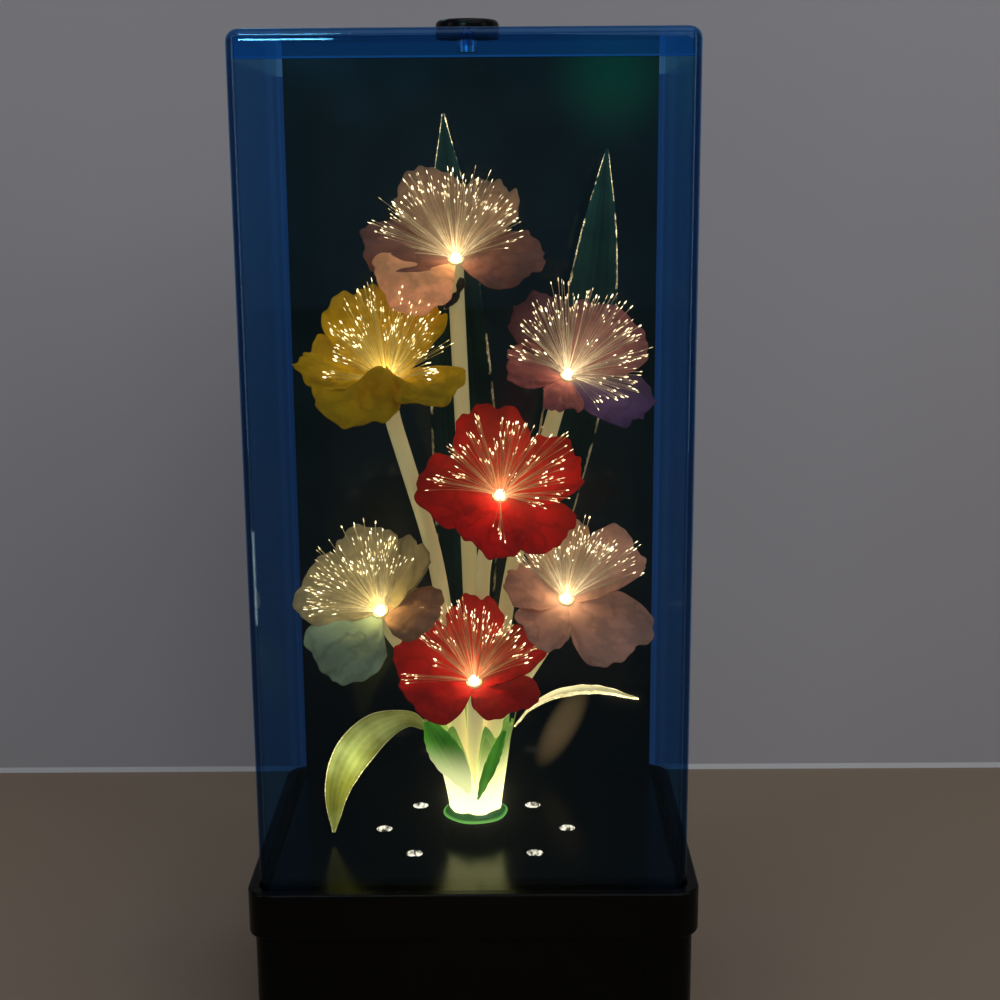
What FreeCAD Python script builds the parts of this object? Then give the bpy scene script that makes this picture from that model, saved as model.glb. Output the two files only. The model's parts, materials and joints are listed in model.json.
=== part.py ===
"""Fibre optic flower lamp in a tinted display case, 1:1 in millimetres.

Frame: +Z up, origin on the table under the middle of the base, +Y towards the rear.
A black plastic base holds a reflector lamp, a motor driven colour wheel and the foot of a
bouquet of seven stems.  Each stem is a tube full of light guides that fan out over five
moulded petals.  A five sided tinted cover with a black rear panel drops into a groove round
the deck and lifts straight off by the knob on its top.
"""
import FreeCAD, Part
import math
import os

os.makedirs("parts", exist_ok=True)
V = FreeCAD.Vector
UP = V(0, 0, 1)
RIGHT = V(1, 0, 0)
REAR = V(0, 1, 0)

# ---------------------------------------------------------------- display cover
COVER_WIDTH = 150.0
COVER_DEPTH = 112.0
COVER_HEIGHT = 300.0
COVER_WALL = 2.5
COVER_OUTER_R = 5.0
COVER_INNER_R = 1.2
COVER_GAP = 0.5              # between the cover and each side of its groove
BACK_PANEL_THICKNESS = 1.5
PANEL_GAP = 0.4              # under and over the rear panel
KNOB_RADIUS = 10.9
KNOB_HEIGHT = 6.2
KNOB_SCREW_RADIUS = 2.0
KNOB_SCREW_HEAD_RADIUS = 3.6
KNOB_SCREW_HEAD_HEIGHT = 2.0
KNOB_SCREW_DEPTH = 4.0       # thread inside the knob

# ---------------------------------------------------------------- base shells
DECK_HEIGHT = 70.0           # table to the top of the deck
DECK_THICKNESS = 2.5
DECK_SKIRT = 2.0
GROOVE_DEPTH = 8.0
LEDGE_THICKNESS = 3.0
LEDGE_REACH = 7.0            # how far the ledge runs in under the deck
COLLAR_WALL = 3.9
COLLAR_RISE = 2.0            # collar rim over the deck
COLLAR_HEIGHT = 17.0
COLLAR_OVERHANG = 2.1        # collar outside the lower walls
RIM_ROUND = 1.0
BASE_WALL = 2.5
FOOT_HEIGHT = 3.0
FOOT_RADIUS = 6.0
FOOT_INSET = 17.0
FLOOR_THICKNESS = 2.5
FLOOR_GAP = 0.3
FLOOR_SLOT_WIDTH = 3.0
FLOOR_SLOT_LENGTH = 26.0
FLOOR_SLOT_PITCH = 8.0
FLOOR_SLOTS = 5
BOSS_RADIUS = 4.0
DECK_POST_RADIUS = 3.5
DECK_POST_SIDE = 22.0        # deck posts to the side walls of the deck
LIGHT_HOLE_RADIUS = 3.0
LIGHT_HOLE_NEAR = (22.3, 22.1)
LIGHT_HOLE_FAR = 35.1

# ---------------------------------------------------------------- fasteners
SCREW_RADIUS = 1.5
SCREW_HEAD_RADIUS = 2.8
SCREW_HEAD_HEIGHT = 1.8
THREAD_GAP = 0.05
HOLE_GAP = 0.2
FLOOR_SCREW_LENGTH = 10.0
DECK_SCREW_LENGTH = 7.5
SHEET_SCREW_LENGTH = 3.5
SHEET = 1.2                  # bracket steel

# ---------------------------------------------------------------- bundle socket
STEM_RADIUS = 2.9
STEM_WALL = 0.4
STEM_GAP = 0.1
GUIDE_GAP = 0.2
SOCKET_FLANGE_RADIUS = 13.0
SOCKET_FLANGE_HEIGHT = 7.0
SOCKET_WALL = 1.2
SOCKET_GAP = 0.2
SOCKET_DROP = 12.0           # neck under the deck's top
NUT_RADIUS = 14.5
NUT_HEIGHT = 4.0
BUNDLE_DROP = 16.0           # lower end of the light guides under the deck's top

# ---------------------------------------------------------------- lamp
LAMP_TO_BUNDLE = 9.0         # lamp glass to the lower end of the bundle
LAMP_RIM_RADIUS = 18.5
LAMP_RIM_HEIGHT = 2.0
LAMP_BOWL_RADIUS = 16.8
LAMP_BOWL_DEPTH = 19.0
LAMP_NECK_RADIUS = 5.0
LAMP_GLASS = 1.5
CAPSULE_RADIUS = 3.2
CAPSULE_HEIGHT = 12.0
PIN_RADIUS = 0.5
PIN_SPACING = 4.0
PIN_LENGTH = 4.0
HOLDER_WIDTH = 16.0
HOLDER_DEPTH = 14.0
HOLDER_HEIGHT = 10.0
HOLDER_RECESS = 2.0
LAMP_POST_BACK = 25.0        # lamp axis to the bracket's upright
LAMP_RING_RADIUS = 20.5

# ---------------------------------------------------------------- colour wheel and motor
WHEEL_X = 30.0
WHEEL_RADIUS = 42.0
WHEEL_THICKNESS = 2.0
WHEEL_RIM = 2.5
WHEEL_HUB_RADIUS = 5.0
WHEEL_HUB_HEIGHT = 7.0
WHEEL_INNER = 18.5           # inner edge of the windows
WHEEL_SPOKE = 5.0
WHEEL_TO_LAMP = 3.0
FILTER_THICKNESS = 0.6
FILTER_LAP = 1.0
FILTER_GAP = 0.1
SHAFT_RADIUS = 2.0
SHAFT_GAP = 0.05
MOTOR_OFFSET = 12.0          # can's axis beyond the shaft
MOTOR_RADIUS = 21.0
MOTOR_HEIGHT = 15.0
MOTOR_BUSH_RADIUS = 4.0
MOTOR_BUSH_HEIGHT = 2.0
MOTOR_TO_WHEEL = 5.0         # top of the can to the underside of the hub
MOTOR_EAR_REACH = 28.0
MOTOR_EAR_WIDTH = 9.0
MOTOR_EAR_THICKNESS = 1.0
MOTOR_LEG = 34.0             # can's axis to each leg of its bracket
MOTOR_TABLE_WIDTH = 30.0
BRACKET_FOOT = 10.0
MOTOR_CAP = (8.0, 5.0, 8.0)  # lead box on the can

# ---------------------------------------------------------------- transformer
TRANSFORMER_X = -46.0
CORE_STACK = 18.0
CORE_WIDTH = 41.0
CORE_HEIGHT = 34.5
CORE_LIMB = 6.5
WINDOW_WIDTH = 7.0
WINDOW_HEIGHT = 21.0
WINDING_GAP = 0.3
WINDING_REACH = 6.5          # winding out of the core's faces
STRAP = 1.0
STRAP_WIDTH = 14.0
STRAP_FOOT = 10.0

# ---------------------------------------------------------------- rear wall: switch and cord inlet
SWITCH_X = 19.0
SWITCH_Z = 34.0
SWITCH_WIDTH = 12.8
SWITCH_HEIGHT = 19.0
SWITCH_DEPTH = 14.0
SWITCH_BEZEL = 1.2
SWITCH_BEZEL_LAP = 1.1
SWITCH_WALL = 1.1
SWITCH_GAP = 0.1
ROCKER_PIVOT_IN = 2.2        # pivot inside the wall's outer face
ROCKER_PIN_RADIUS = 1.2
ROCKER_SIDE_GAP = 0.3
ROCKER_LENGTH = 14.8
ROCKER_CREST = 2.9
ROCKER_VALLEY = 1.9
ROCKER_ROOT = 3.4
ROCKER_THROW = 8.0           # degrees each way from the middle
TAB_WIDTH = 4.8
TAB_THICKNESS = 0.8
TAB_LENGTH = 7.0
TAB_PITCH = 9.0
INLET_X = -45.0
INLET_Z = 20.0
INLET_BORE = 3.2
INLET_GROOVE = 5.9
INLET_FLANGE = 8.0
INLET_FLANGE_THICKNESS = 1.6
BLOCK_SIZE = (24.0, 12.0, 11.0)
BLOCK_X = -50.0
BLOCK_Y = 40.0
LEAD_RADIUS = 1.2

# ---------------------------------------------------------------- bouquet
FLARE_RADIUS = 12.0
FLARE_HEIGHT = 4.5
SHEATH_FOOT_RADIUS = 9.8
SHEATH_TOP_RADIUS = 16.5
SHEATH_HEIGHT = 38.0
SHEATH_LEAN = -2.0
SHEATH_WALL = 0.8
SHEATH_NOTCHES = 5
LEAF_THICKNESS = 0.8
LEAF_CLEAR = 0.5             # leaf foot to the sheath
LEAF_HEADROOM = 22.0         # tip of the tallest leaf to the cover's ceiling
SECOND_LEAF_DROP = 12.5      # tip of the second tall leaf under the tallest
TALL_LEAF_WIDTH = 25.0
SECOND_LEAF_WIDTH = 22.0
LEFT_LEAF_REACH = 35.0       # sheath's rim to the hanging tip
LEFT_LEAF_WIDTH = 14.0
LEFT_LEAF_CLEAR = 3.2        # hanging tip to the deck
RIGHT_LEAF_REACH = 46.5
RIGHT_LEAF_RISE = 13.5
RIGHT_LEAF_WIDTH = 13.0
SMALL_LEAF_REACH = (31.0, 27.0)
SMALL_LEAF_WIDTH = 9.0
PETAL_THICKNESS = 0.8
PETAL_NOTCH = 0.30           # depth of the dip between two petals, of their length
PETAL_BOWL = 1.35            # how late a petal rises along its length
NECK_LENGTH = 15.0           # straight end of a stem behind its flower
BEND_REACH = 18.0            # longest tangent of a bend in a stem
GUIDES = 30
GUIDE_RADIUS = 0.35
GUIDE_SHARE = 1.0           # of the mean length of the flower's petals
GUIDE_TO_PETAL = 9.0         # degrees between the outermost guides and the petals

# One row a flower: place of the stem's end across, forward and over the deck; turn to the right
# and lift of the face in degrees; upright run of the stem over the socket; a point that the stem
# passes; seat in the bundle; petals.
# Each petal is its angle round the flower from the right, its opening from the axis, its length.
FLOWERS = {
    "peach": dict(root=(-5.1, 6.0, 216.8), turn=2, lift=48, straight=30, via=(-1.3, 8.0, 100.5), seat="rear",
                  petals=((-15, 74, 31), (55, 56, 33), (130, 58, 35), (203, 88, 33), (262, 78, 29))),
    "yellow": dict(root=(-29.3, -14.0, 175.2), turn=-5, lift=60, straight=30, via=(-13.0, -5.0, 108.0), seat="front left",
                   petals=((5, 78, 29), (60, 55, 33), (118, 55, 35), (176, 74, 32), (250, 84, 28))),
    "purple": dict(root=(35.0, -2.0, 175.6), turn=18, lift=48, straight=30, via=(14.8, 2.0, 105.8), seat="rear right",
                   petals=((15, 72, 31), (125, 60, 33), (182, 74, 27), (256, 78, 29), (318, 88, 32))),
    "red": dict(root=(10.3, -12.0, 133.7), turn=8, lift=46, straight=30, via=(3.8, -4.0, 107.4), seat="middle",
                petals=((25, 68, 32), (108, 52, 34), (180, 78, 31), (255, 84, 28), (318, 84, 30))),
    "cream": dict(root=(-34.1, -9.0, 90.0), turn=-14, lift=46, straight=36, via=None, seat="rear left",
                  petals=((-8, 70, 25), (50, 58, 29), (105, 62, 32), (165, 76, 31), (248, 86, 31))),
    "pink": dict(root=(34.2, -7.0, 93.6), turn=10, lift=50, straight=34, via=(20.0, -3.0, 64.0), seat="front right",
                 petals=((35, 62, 33), (112, 54, 31), (180, 72, 23), (238, 82, 25), (316, 88, 33))),
    "rose": dict(root=(0.4, -20.0, 66.4), turn=-3, lift=62, straight=26, via=None, seat="front",
                 petals=((15, 66, 27), (88, 46, 31), (155, 66, 32), (222, 76, 31), (300, 80, 26))),
}
SEATS = {"middle": None, "rear": 90, "front": 270, "front left": 210, "rear left": 150, "front right": 330,
         "rear right": 30}

# ---------------------------------------------------------------- sizes worked out from the above
INNER_X = COVER_WIDTH / 2 - COVER_WALL
INNER_Y = COVER_DEPTH / 2 - COVER_WALL
LEDGE_TOP = DECK_HEIGHT - GROOVE_DEPTH
COVER_TOP = LEDGE_TOP + COVER_HEIGHT
CEILING = COVER_TOP - COVER_WALL
COLLAR_X = COVER_WIDTH / 2 + COVER_GAP + COLLAR_WALL
COLLAR_Y = COVER_DEPTH / 2 + COVER_GAP + COLLAR_WALL
BODY_X = COLLAR_X - COLLAR_OVERHANG
BODY_Y = COLLAR_Y - COLLAR_OVERHANG
ROOM_X = BODY_X - BASE_WALL
ROOM_Y = BODY_Y - BASE_WALL
DECK_X = INNER_X - COVER_GAP
DECK_Y = INNER_Y - COVER_GAP
DECK_UNDER = DECK_HEIGHT - DECK_THICKNESS
COLLAR_TOP = DECK_HEIGHT + COLLAR_RISE
FLOOR_TOP = FOOT_HEIGHT + FLOOR_THICKNESS
BOSS_X = ROOM_X - BOSS_RADIUS
BOSS_Y = ROOM_Y - BOSS_RADIUS
POST_X = DECK_X - DECK_POST_SIDE
POST_Y = DECK_Y - DECK_POST_RADIUS
SEAT_CIRCLE = 2 * STEM_RADIUS + STEM_GAP
SOCKET_BORE = SEAT_CIRCLE + STEM_RADIUS + STEM_GAP
NECK_RADIUS = SOCKET_BORE + SOCKET_WALL
SOCKET_TOP = DECK_HEIGHT + SOCKET_FLANGE_HEIGHT
BUNDLE_END = DECK_HEIGHT - BUNDLE_DROP
LAMP_FACE = BUNDLE_END - LAMP_TO_BUNDLE
RIM_UNDER = LAMP_FACE - LAMP_RIM_HEIGHT
BOWL_FOOT = RIM_UNDER - LAMP_BOWL_DEPTH
HOLDER_TOP = FLOOR_TOP + SHEET + HOLDER_HEIGHT
NECK_FOOT = HOLDER_TOP - HOLDER_RECESS
WHEEL_UNDER = LAMP_FACE + WHEEL_TO_LAMP
WHEEL_TOP = WHEEL_UNDER + WHEEL_THICKNESS
HUB_UNDER = WHEEL_UNDER - WHEEL_THICKNESS
MOTOR_X = WHEEL_X + MOTOR_OFFSET
MOTOR_TOP = HUB_UNDER - MOTOR_TO_WHEEL
MOTOR_FOOT = MOTOR_TOP - MOTOR_HEIGHT
CORE_FOOT = FLOOR_TOP + STRAP
SWITCH_INNER = BODY_Y - SWITCH_DEPTH
ROCKER_Y = BODY_Y - ROCKER_PIVOT_IN
WINDING_X = CORE_STACK / 2 + WINDING_REACH


# ---------------------------------------------------------------- shared shapes
def save(name, shape):
    """Write one sub-part under its node's name and print its solids and volume."""
    solids = shape.Solids
    good = all(s.isValid() and s.isClosed() for s in solids)
    print("%-18s solids %2d  volume %10.2f  %s" % (name, len(solids), shape.Volume, "ok" if good else "BAD"))
    shape.exportStep("parts/%s.step" % name)


def group(shapes):
    """Several separate solids in one node."""
    return Part.makeCompound([s for shape in shapes for s in shape.Solids])


def slab(half_x, half_y, z0, z1, radius):
    """Upright prism with a rounded rectangle as its plan, centred on the Z axis."""
    box = Part.makeBox(2 * half_x, 2 * half_y, z1 - z0, V(-half_x, -half_y, z0))
    if radius <= 0:
        return box
    upright = [e for e in box.Edges if abs(e.tangentAt(e.FirstParameter).z) > 0.9]
    return box.makeFillet(radius, upright)


def block(x0, x1, y0, y1, z0, z1):
    """Plain box between two corners."""
    return Part.makeBox(x1 - x0, y1 - y0, z1 - z0, V(x0, y0, z0))


def rod(x, y, z0, z1, radius):
    """Upright cylinder."""
    return Part.makeCylinder(radius, z1 - z0, V(x, y, z0), UP)


def tube(x, y, z0, z1, outer, inner):
    """Upright cylinder with a through bore."""
    return rod(x, y, z0, z1, outer).cut(rod(x, y, z0 - 1, z1 + 1, inner))


def corners(x, y):
    """Four places that mirror each other in both middle planes."""
    return [(sx * x, sy * y) for sx in (-1, 1) for sy in (-1, 1)]


def revolved(profile):
    """Solid of revolution about Z from (radius, height) points."""
    wire = Part.makePolygon([V(r, 0, z) for r, z in profile] + [V(profile[0][0], 0, profile[0][1])])
    return Part.Face(wire).revolve(V(0, 0, 0), UP, 360)


def pan_screw(x, y, seat, length, way):
    """Pan head screw: its head lies on the far side of the seat from the way it points."""
    shank_end = seat + way * length
    head_end = seat - way * SCREW_HEAD_HEIGHT
    shank = rod(x, y, min(seat, shank_end), max(seat, shank_end), SCREW_RADIUS)
    head = rod(x, y, min(seat, head_end), max(seat, head_end), SCREW_HEAD_RADIUS)
    rim = [e for e in head.Edges if abs(e.BoundBox.Center.z - head_end) < 1e-6]
    slot = block(x - SCREW_HEAD_RADIUS, x + SCREW_HEAD_RADIUS, y - 0.4, y + 0.4,
                 min(head_end, head_end + way * 0.7), max(head_end, head_end + way * 0.7))
    return head.makeFillet(SCREW_HEAD_HEIGHT / 3, rim).fuse(shank).cut(slot).removeSplitter()


def route(points, reach):
    """Straight runs joined by tangent arcs, each as wide as its shorter run and reach allow."""
    edges = []
    start = points[0]
    for before, corner, after in zip(points, points[1:], points[2:]):
        into = (before - corner).normalize()
        out = (after - corner).normalize()
        tangent = min(0.45 * before.distanceToPoint(corner), 0.45 * corner.distanceToPoint(after), reach)
        arc_start = corner + into * tangent
        arc_end = corner + out * tangent
        half = into.getAngle(out) / 2
        bisector = (into + out).normalize()
        radius = tangent * math.tan(half)
        middle = corner + bisector * (tangent / math.cos(half) - radius)
        edges.append(Part.LineSegment(start, arc_start).toShape())
        edges.append(Part.Arc(arc_start, middle, arc_end).toShape())
        start = arc_end
    edges.append(Part.LineSegment(start, points[-1]).toShape())
    return Part.Wire(edges)


def swept(path, radius):
    """Round bar along a route."""
    first = path.Edges[0]
    way = first.tangentAt(first.FirstParameter)
    disc = Part.Face(Part.Wire(Part.makeCircle(radius, path.Vertexes[0].Point, way)))
    return path.makePipe(disc)


# ---------------------------------------------------------------- cover
def display_cover():
    """Five sided tinted box with an open bottom and a hole for the knob's screw."""
    outer = slab(COVER_WIDTH / 2, COVER_DEPTH / 2, LEDGE_TOP, COVER_TOP, COVER_OUTER_R)
    rim = [e for e in outer.Edges if e.BoundBox.ZMin > COVER_TOP - 1e-3]
    outer = outer.makeFillet(COVER_OUTER_R * 0.8, rim)
    inner = slab(INNER_X, INNER_Y, LEDGE_TOP - 1, CEILING, COVER_INNER_R)
    hole = rod(0, 0, CEILING - 1, COVER_TOP + 1, KNOB_SCREW_RADIUS + HOLE_GAP)
    return outer.cut(inner).cut(hole)


def back_panel():
    """Black sheet against the inside of the cover's rear wall."""
    half = INNER_X - COVER_INNER_R
    front = INNER_Y - BACK_PANEL_THICKNESS
    return block(-half, half, front, INNER_Y, DECK_HEIGHT + PANEL_GAP, CEILING - PANEL_GAP)


def lift_knob():
    """Low round knob with a domed top and a blind hole for its screw."""
    top = COVER_TOP + KNOB_HEIGHT
    body = rod(0, 0, COVER_TOP, top, KNOB_RADIUS)
    rim = [e for e in body.Edges if e.BoundBox.ZMin > top - 1e-3]
    body = body.makeFillet(KNOB_HEIGHT * 0.3, rim)
    hole_end = COVER_TOP + KNOB_SCREW_DEPTH + HOLE_GAP
    return body.cut(rod(0, 0, COVER_TOP - 1, hole_end, KNOB_SCREW_RADIUS + THREAD_GAP))


def knob_screw():
    """Screw from inside the cover into the knob."""
    shank = rod(0, 0, CEILING, COVER_TOP + KNOB_SCREW_DEPTH, KNOB_SCREW_RADIUS)
    head = rod(0, 0, CEILING - KNOB_SCREW_HEAD_HEIGHT, CEILING, KNOB_SCREW_HEAD_RADIUS)
    return shank.fuse(head).removeSplitter()


# ---------------------------------------------------------------- base shells
def base_housing():
    """Walls, collar and ledge in one moulding, with screw bosses and the two rear openings."""
    body_r = COVER_OUTER_R + COVER_GAP + COLLAR_WALL - COLLAR_OVERHANG
    collar_foot = COLLAR_TOP - COLLAR_HEIGHT
    lower = slab(BODY_X, BODY_Y, FOOT_HEIGHT, collar_foot + 1, body_r)
    collar = slab(COLLAR_X, COLLAR_Y, collar_foot, COLLAR_TOP, body_r + COLLAR_OVERHANG)
    rims = [e for e in collar.Edges if e.BoundBox.ZMin > COLLAR_TOP - 1e-3 or e.BoundBox.ZMax < collar_foot + 1e-3]
    collar = collar.makeFillet(RIM_ROUND, rims)
    shell = lower.fuse(collar)
    shell = shell.cut(slab(ROOM_X, ROOM_Y, FOOT_HEIGHT - 1, LEDGE_TOP - LEDGE_THICKNESS, body_r - BASE_WALL))
    shell = shell.cut(slab(DECK_X - LEDGE_REACH, DECK_Y - LEDGE_REACH, FOOT_HEIGHT, COLLAR_TOP + 1, COVER_INNER_R))
    groove_x = COVER_WIDTH / 2 + COVER_GAP
    groove_y = COVER_DEPTH / 2 + COVER_GAP
    shell = shell.cut(slab(groove_x, groove_y, LEDGE_TOP, COLLAR_TOP + 1, COVER_OUTER_R + COVER_GAP))
    for x, y in corners(BOSS_X, BOSS_Y):
        post = rod(x, y, FLOOR_TOP, LEDGE_TOP - LEDGE_THICKNESS, BOSS_RADIUS)
        shell = shell.fuse(post.common(slab(ROOM_X + 1, ROOM_Y + 1, 0, DECK_HEIGHT, body_r - BASE_WALL)))
        pilot_end = FOOT_HEIGHT + FLOOR_SCREW_LENGTH + 1
        shell = shell.cut(rod(x, y, FLOOR_TOP - 1, pilot_end, SCREW_RADIUS + THREAD_GAP))
    for x, y in corners(POST_X, POST_Y):
        shell = shell.cut(rod(x, y, LEDGE_TOP - LEDGE_THICKNESS - 1, LEDGE_TOP + 1, SCREW_RADIUS + HOLE_GAP))
    half_w = SWITCH_WIDTH / 2 + SWITCH_GAP
    half_h = SWITCH_HEIGHT / 2 + SWITCH_GAP
    shell = shell.cut(block(SWITCH_X - half_w, SWITCH_X + half_w, ROOM_Y - 2, BODY_Y + 2,
                            SWITCH_Z - half_h, SWITCH_Z + half_h))
    inlet_start = V(INLET_X, ROOM_Y - BASE_WALL, INLET_Z)
    inlet = Part.makeCylinder(INLET_GROOVE + SWITCH_GAP, 3 * BASE_WALL, inlet_start, REAR)
    return shell.cut(inlet).removeSplitter()


def deck_plate():
    """Glossy deck: a tray upside down, with the bundle's hole, six light holes and four posts."""
    top = slab(DECK_X, DECK_Y, LEDGE_TOP, DECK_HEIGHT, COVER_OUTER_R - COVER_WALL)
    deck = top.cut(slab(DECK_X - DECK_SKIRT, DECK_Y - DECK_SKIRT, LEDGE_TOP - 1, DECK_UNDER, 0))
    for x, y in corners(POST_X, POST_Y):
        deck = deck.fuse(rod(x, y, LEDGE_TOP, DECK_UNDER, DECK_POST_RADIUS))
        pilot_end = LEDGE_TOP - LEDGE_THICKNESS + DECK_SCREW_LENGTH + HOLE_GAP
        deck = deck.cut(rod(x, y, LEDGE_TOP - 1, pilot_end, SCREW_RADIUS + THREAD_GAP))
    deck = deck.cut(rod(0, 0, DECK_UNDER - 1, DECK_HEIGHT + 1, NECK_RADIUS + SOCKET_GAP))
    for x, y in corners(*LIGHT_HOLE_NEAR) + [(-LIGHT_HOLE_FAR, 0), (LIGHT_HOLE_FAR, 0)]:
        deck = deck.cut(rod(x, y, DECK_UNDER - 1, DECK_HEIGHT + 1, LIGHT_HOLE_RADIUS))
    return deck.removeSplitter()


def bottom_plate():
    """Floor of the base with a row of cooling slots under the lamp and holes for its screws."""
    half_x = ROOM_X - FLOOR_GAP
    half_y = ROOM_Y - FLOOR_GAP
    inner_r = COVER_OUTER_R + COVER_GAP + COLLAR_WALL - COLLAR_OVERHANG - BASE_WALL
    plate = slab(half_x, half_y, FOOT_HEIGHT, FLOOR_TOP, inner_r)
    for x, y in corners(BOSS_X, BOSS_Y):
        plate = plate.cut(rod(x, y, FOOT_HEIGHT - 1, FLOOR_TOP + 1, SCREW_RADIUS + HOLE_GAP))
    for i in range(FLOOR_SLOTS):
        x = (i - (FLOOR_SLOTS - 1) / 2) * FLOOR_SLOT_PITCH
        y = -ROOM_Y + FLOOR_SLOT_LENGTH / 2 + FOOT_RADIUS
        plate = plate.cut(block(x - FLOOR_SLOT_WIDTH / 2, x + FLOOR_SLOT_WIDTH / 2, y - FLOOR_SLOT_LENGTH / 2,
                                y + FLOOR_SLOT_LENGTH / 2, FOOT_HEIGHT - 1, FLOOR_TOP + 1))
    for x, y in sheet_screw_places():
        plate = plate.cut(rod(x, y, FOOT_HEIGHT - 1, FLOOR_TOP + 1, SCREW_RADIUS + THREAD_GAP))
    return plate


def rubber_feet():
    """Four round feet with a rounded lower rim."""
    feet = []
    for x, y in corners(BODY_X - FOOT_INSET, BODY_Y - FOOT_INSET):
        foot = rod(x, y, 0, FOOT_HEIGHT, FOOT_RADIUS)
        feet.append(foot.makeFillet(FOOT_HEIGHT / 4, [e for e in foot.Edges if e.BoundBox.ZMax < 1e-3]))
    return group(feet)


def case_screws():
    """Screws of the floor, from below, and of the deck, through the ledge."""
    floor = [pan_screw(x, y, FOOT_HEIGHT, FLOOR_SCREW_LENGTH, 1) for x, y in corners(BOSS_X, BOSS_Y)]
    deck = [pan_screw(x, y, LEDGE_TOP - LEDGE_THICKNESS, DECK_SCREW_LENGTH, 1) for x, y in corners(POST_X, POST_Y)]
    return group(floor + deck)


# ---------------------------------------------------------------- lamp
def lamp_reflector():
    """Glass bowl of the lamp with a rim, a parabolic wall and a bored neck."""
    def wall(radius, drop):
        """Points of a parabola from the neck to the rim, moved in by drop."""
        steps = 6
        return [(LAMP_NECK_RADIUS + 1 + (radius - LAMP_NECK_RADIUS - 1) * math.sqrt(i / steps) - drop,
                 BOWL_FOOT + LAMP_BOWL_DEPTH * i / steps) for i in range(steps + 1)]
    outside = [(LAMP_NECK_RADIUS, NECK_FOOT), (LAMP_NECK_RADIUS, BOWL_FOOT)] + wall(LAMP_BOWL_RADIUS, 0)
    outside += [(LAMP_RIM_RADIUS, RIM_UNDER), (LAMP_RIM_RADIUS, LAMP_FACE)]
    inside = [(LAMP_BOWL_RADIUS - LAMP_GLASS, LAMP_FACE)] + wall(LAMP_BOWL_RADIUS, LAMP_GLASS)[:0:-1]
    inside += [(CAPSULE_RADIUS + HOLE_GAP, BOWL_FOOT), (CAPSULE_RADIUS + HOLE_GAP, NECK_FOOT)]
    return revolved(outside + inside)


def lamp_capsule():
    """Halogen capsule with two pins that go into the holder."""
    glass = rod(0, 0, NECK_FOOT, BOWL_FOOT + CAPSULE_HEIGHT, CAPSULE_RADIUS)
    glass = glass.makeFillet(CAPSULE_RADIUS * 0.8, [e for e in glass.Edges if e.BoundBox.ZMin > BOWL_FOOT])
    for side in (-1, 1):
        glass = glass.fuse(rod(side * PIN_SPACING / 2, 0, NECK_FOOT - PIN_LENGTH, NECK_FOOT + 1, PIN_RADIUS))
    return glass.removeSplitter()


def lamp_holder():
    """Ceramic block that takes the lamp's neck and pins."""
    foot = FLOOR_TOP + SHEET
    body = slab(HOLDER_WIDTH / 2, HOLDER_DEPTH / 2, foot, HOLDER_TOP, 1.5)
    body = body.cut(rod(0, 0, NECK_FOOT, HOLDER_TOP + 1, LAMP_NECK_RADIUS + HOLE_GAP))
    for side in (-1, 1):
        body = body.cut(rod(side * PIN_SPACING / 2, 0, NECK_FOOT - PIN_LENGTH - HOLE_GAP, NECK_FOOT + 1,
                            PIN_RADIUS + HOLE_GAP))
    return body


def lamp_bracket():
    """Bent sheet: a foot under the holder, an upright, and a ring under the lamp's rim."""
    half = HOLDER_WIDTH / 2
    front = -LAMP_RING_RADIUS
    foot = block(-half, half, front, LAMP_POST_BACK, FLOOR_TOP, FLOOR_TOP + SHEET)
    upright = block(-half, half, LAMP_POST_BACK, LAMP_POST_BACK + SHEET, FLOOR_TOP, RIM_UNDER)
    arm = block(-half, half, 0, LAMP_POST_BACK + SHEET, RIM_UNDER - SHEET, RIM_UNDER)
    ring = rod(0, 0, RIM_UNDER - SHEET, RIM_UNDER, LAMP_RING_RADIUS)
    bracket = foot.fuse([upright, arm, ring])
    bracket = bracket.cut(rod(0, 0, RIM_UNDER - SHEET - 1, RIM_UNDER + 1, LAMP_BOWL_RADIUS + HOLE_GAP))
    for x, y in lamp_screw_places():
        bracket = bracket.cut(rod(x, y, FLOOR_TOP - 1, FLOOR_TOP + SHEET + 1, SCREW_RADIUS + HOLE_GAP))
    return bracket.removeSplitter()


def lamp_screw_places():
    """In front of the lamp holder and behind it."""
    front = (-LAMP_RING_RADIUS - HOLDER_DEPTH / 2) / 2
    rear = (LAMP_POST_BACK + HOLDER_DEPTH / 2) / 2
    return [(0, front), (0, rear)]


# ---------------------------------------------------------------- colour wheel and motor
def sectors(inner, outer, margin, z0, z1):
    """Four quarters of a ring between the spokes, one of them over the lamp, each grown by margin."""
    half_spoke = WHEEL_SPOKE / 2 - margin
    ring = tube(WHEEL_X, 0, z0, z1, outer, inner)
    quarter = ring.common(block(WHEEL_X + half_spoke, WHEEL_X + outer, half_spoke, outer, z0, z1))
    solids = []
    for turn in (135, 225, 315, 405):
        solid = quarter.copy()
        solid.rotate(V(WHEEL_X, 0, 0), UP, turn)
        solids.append(solid)
    return solids


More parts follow.
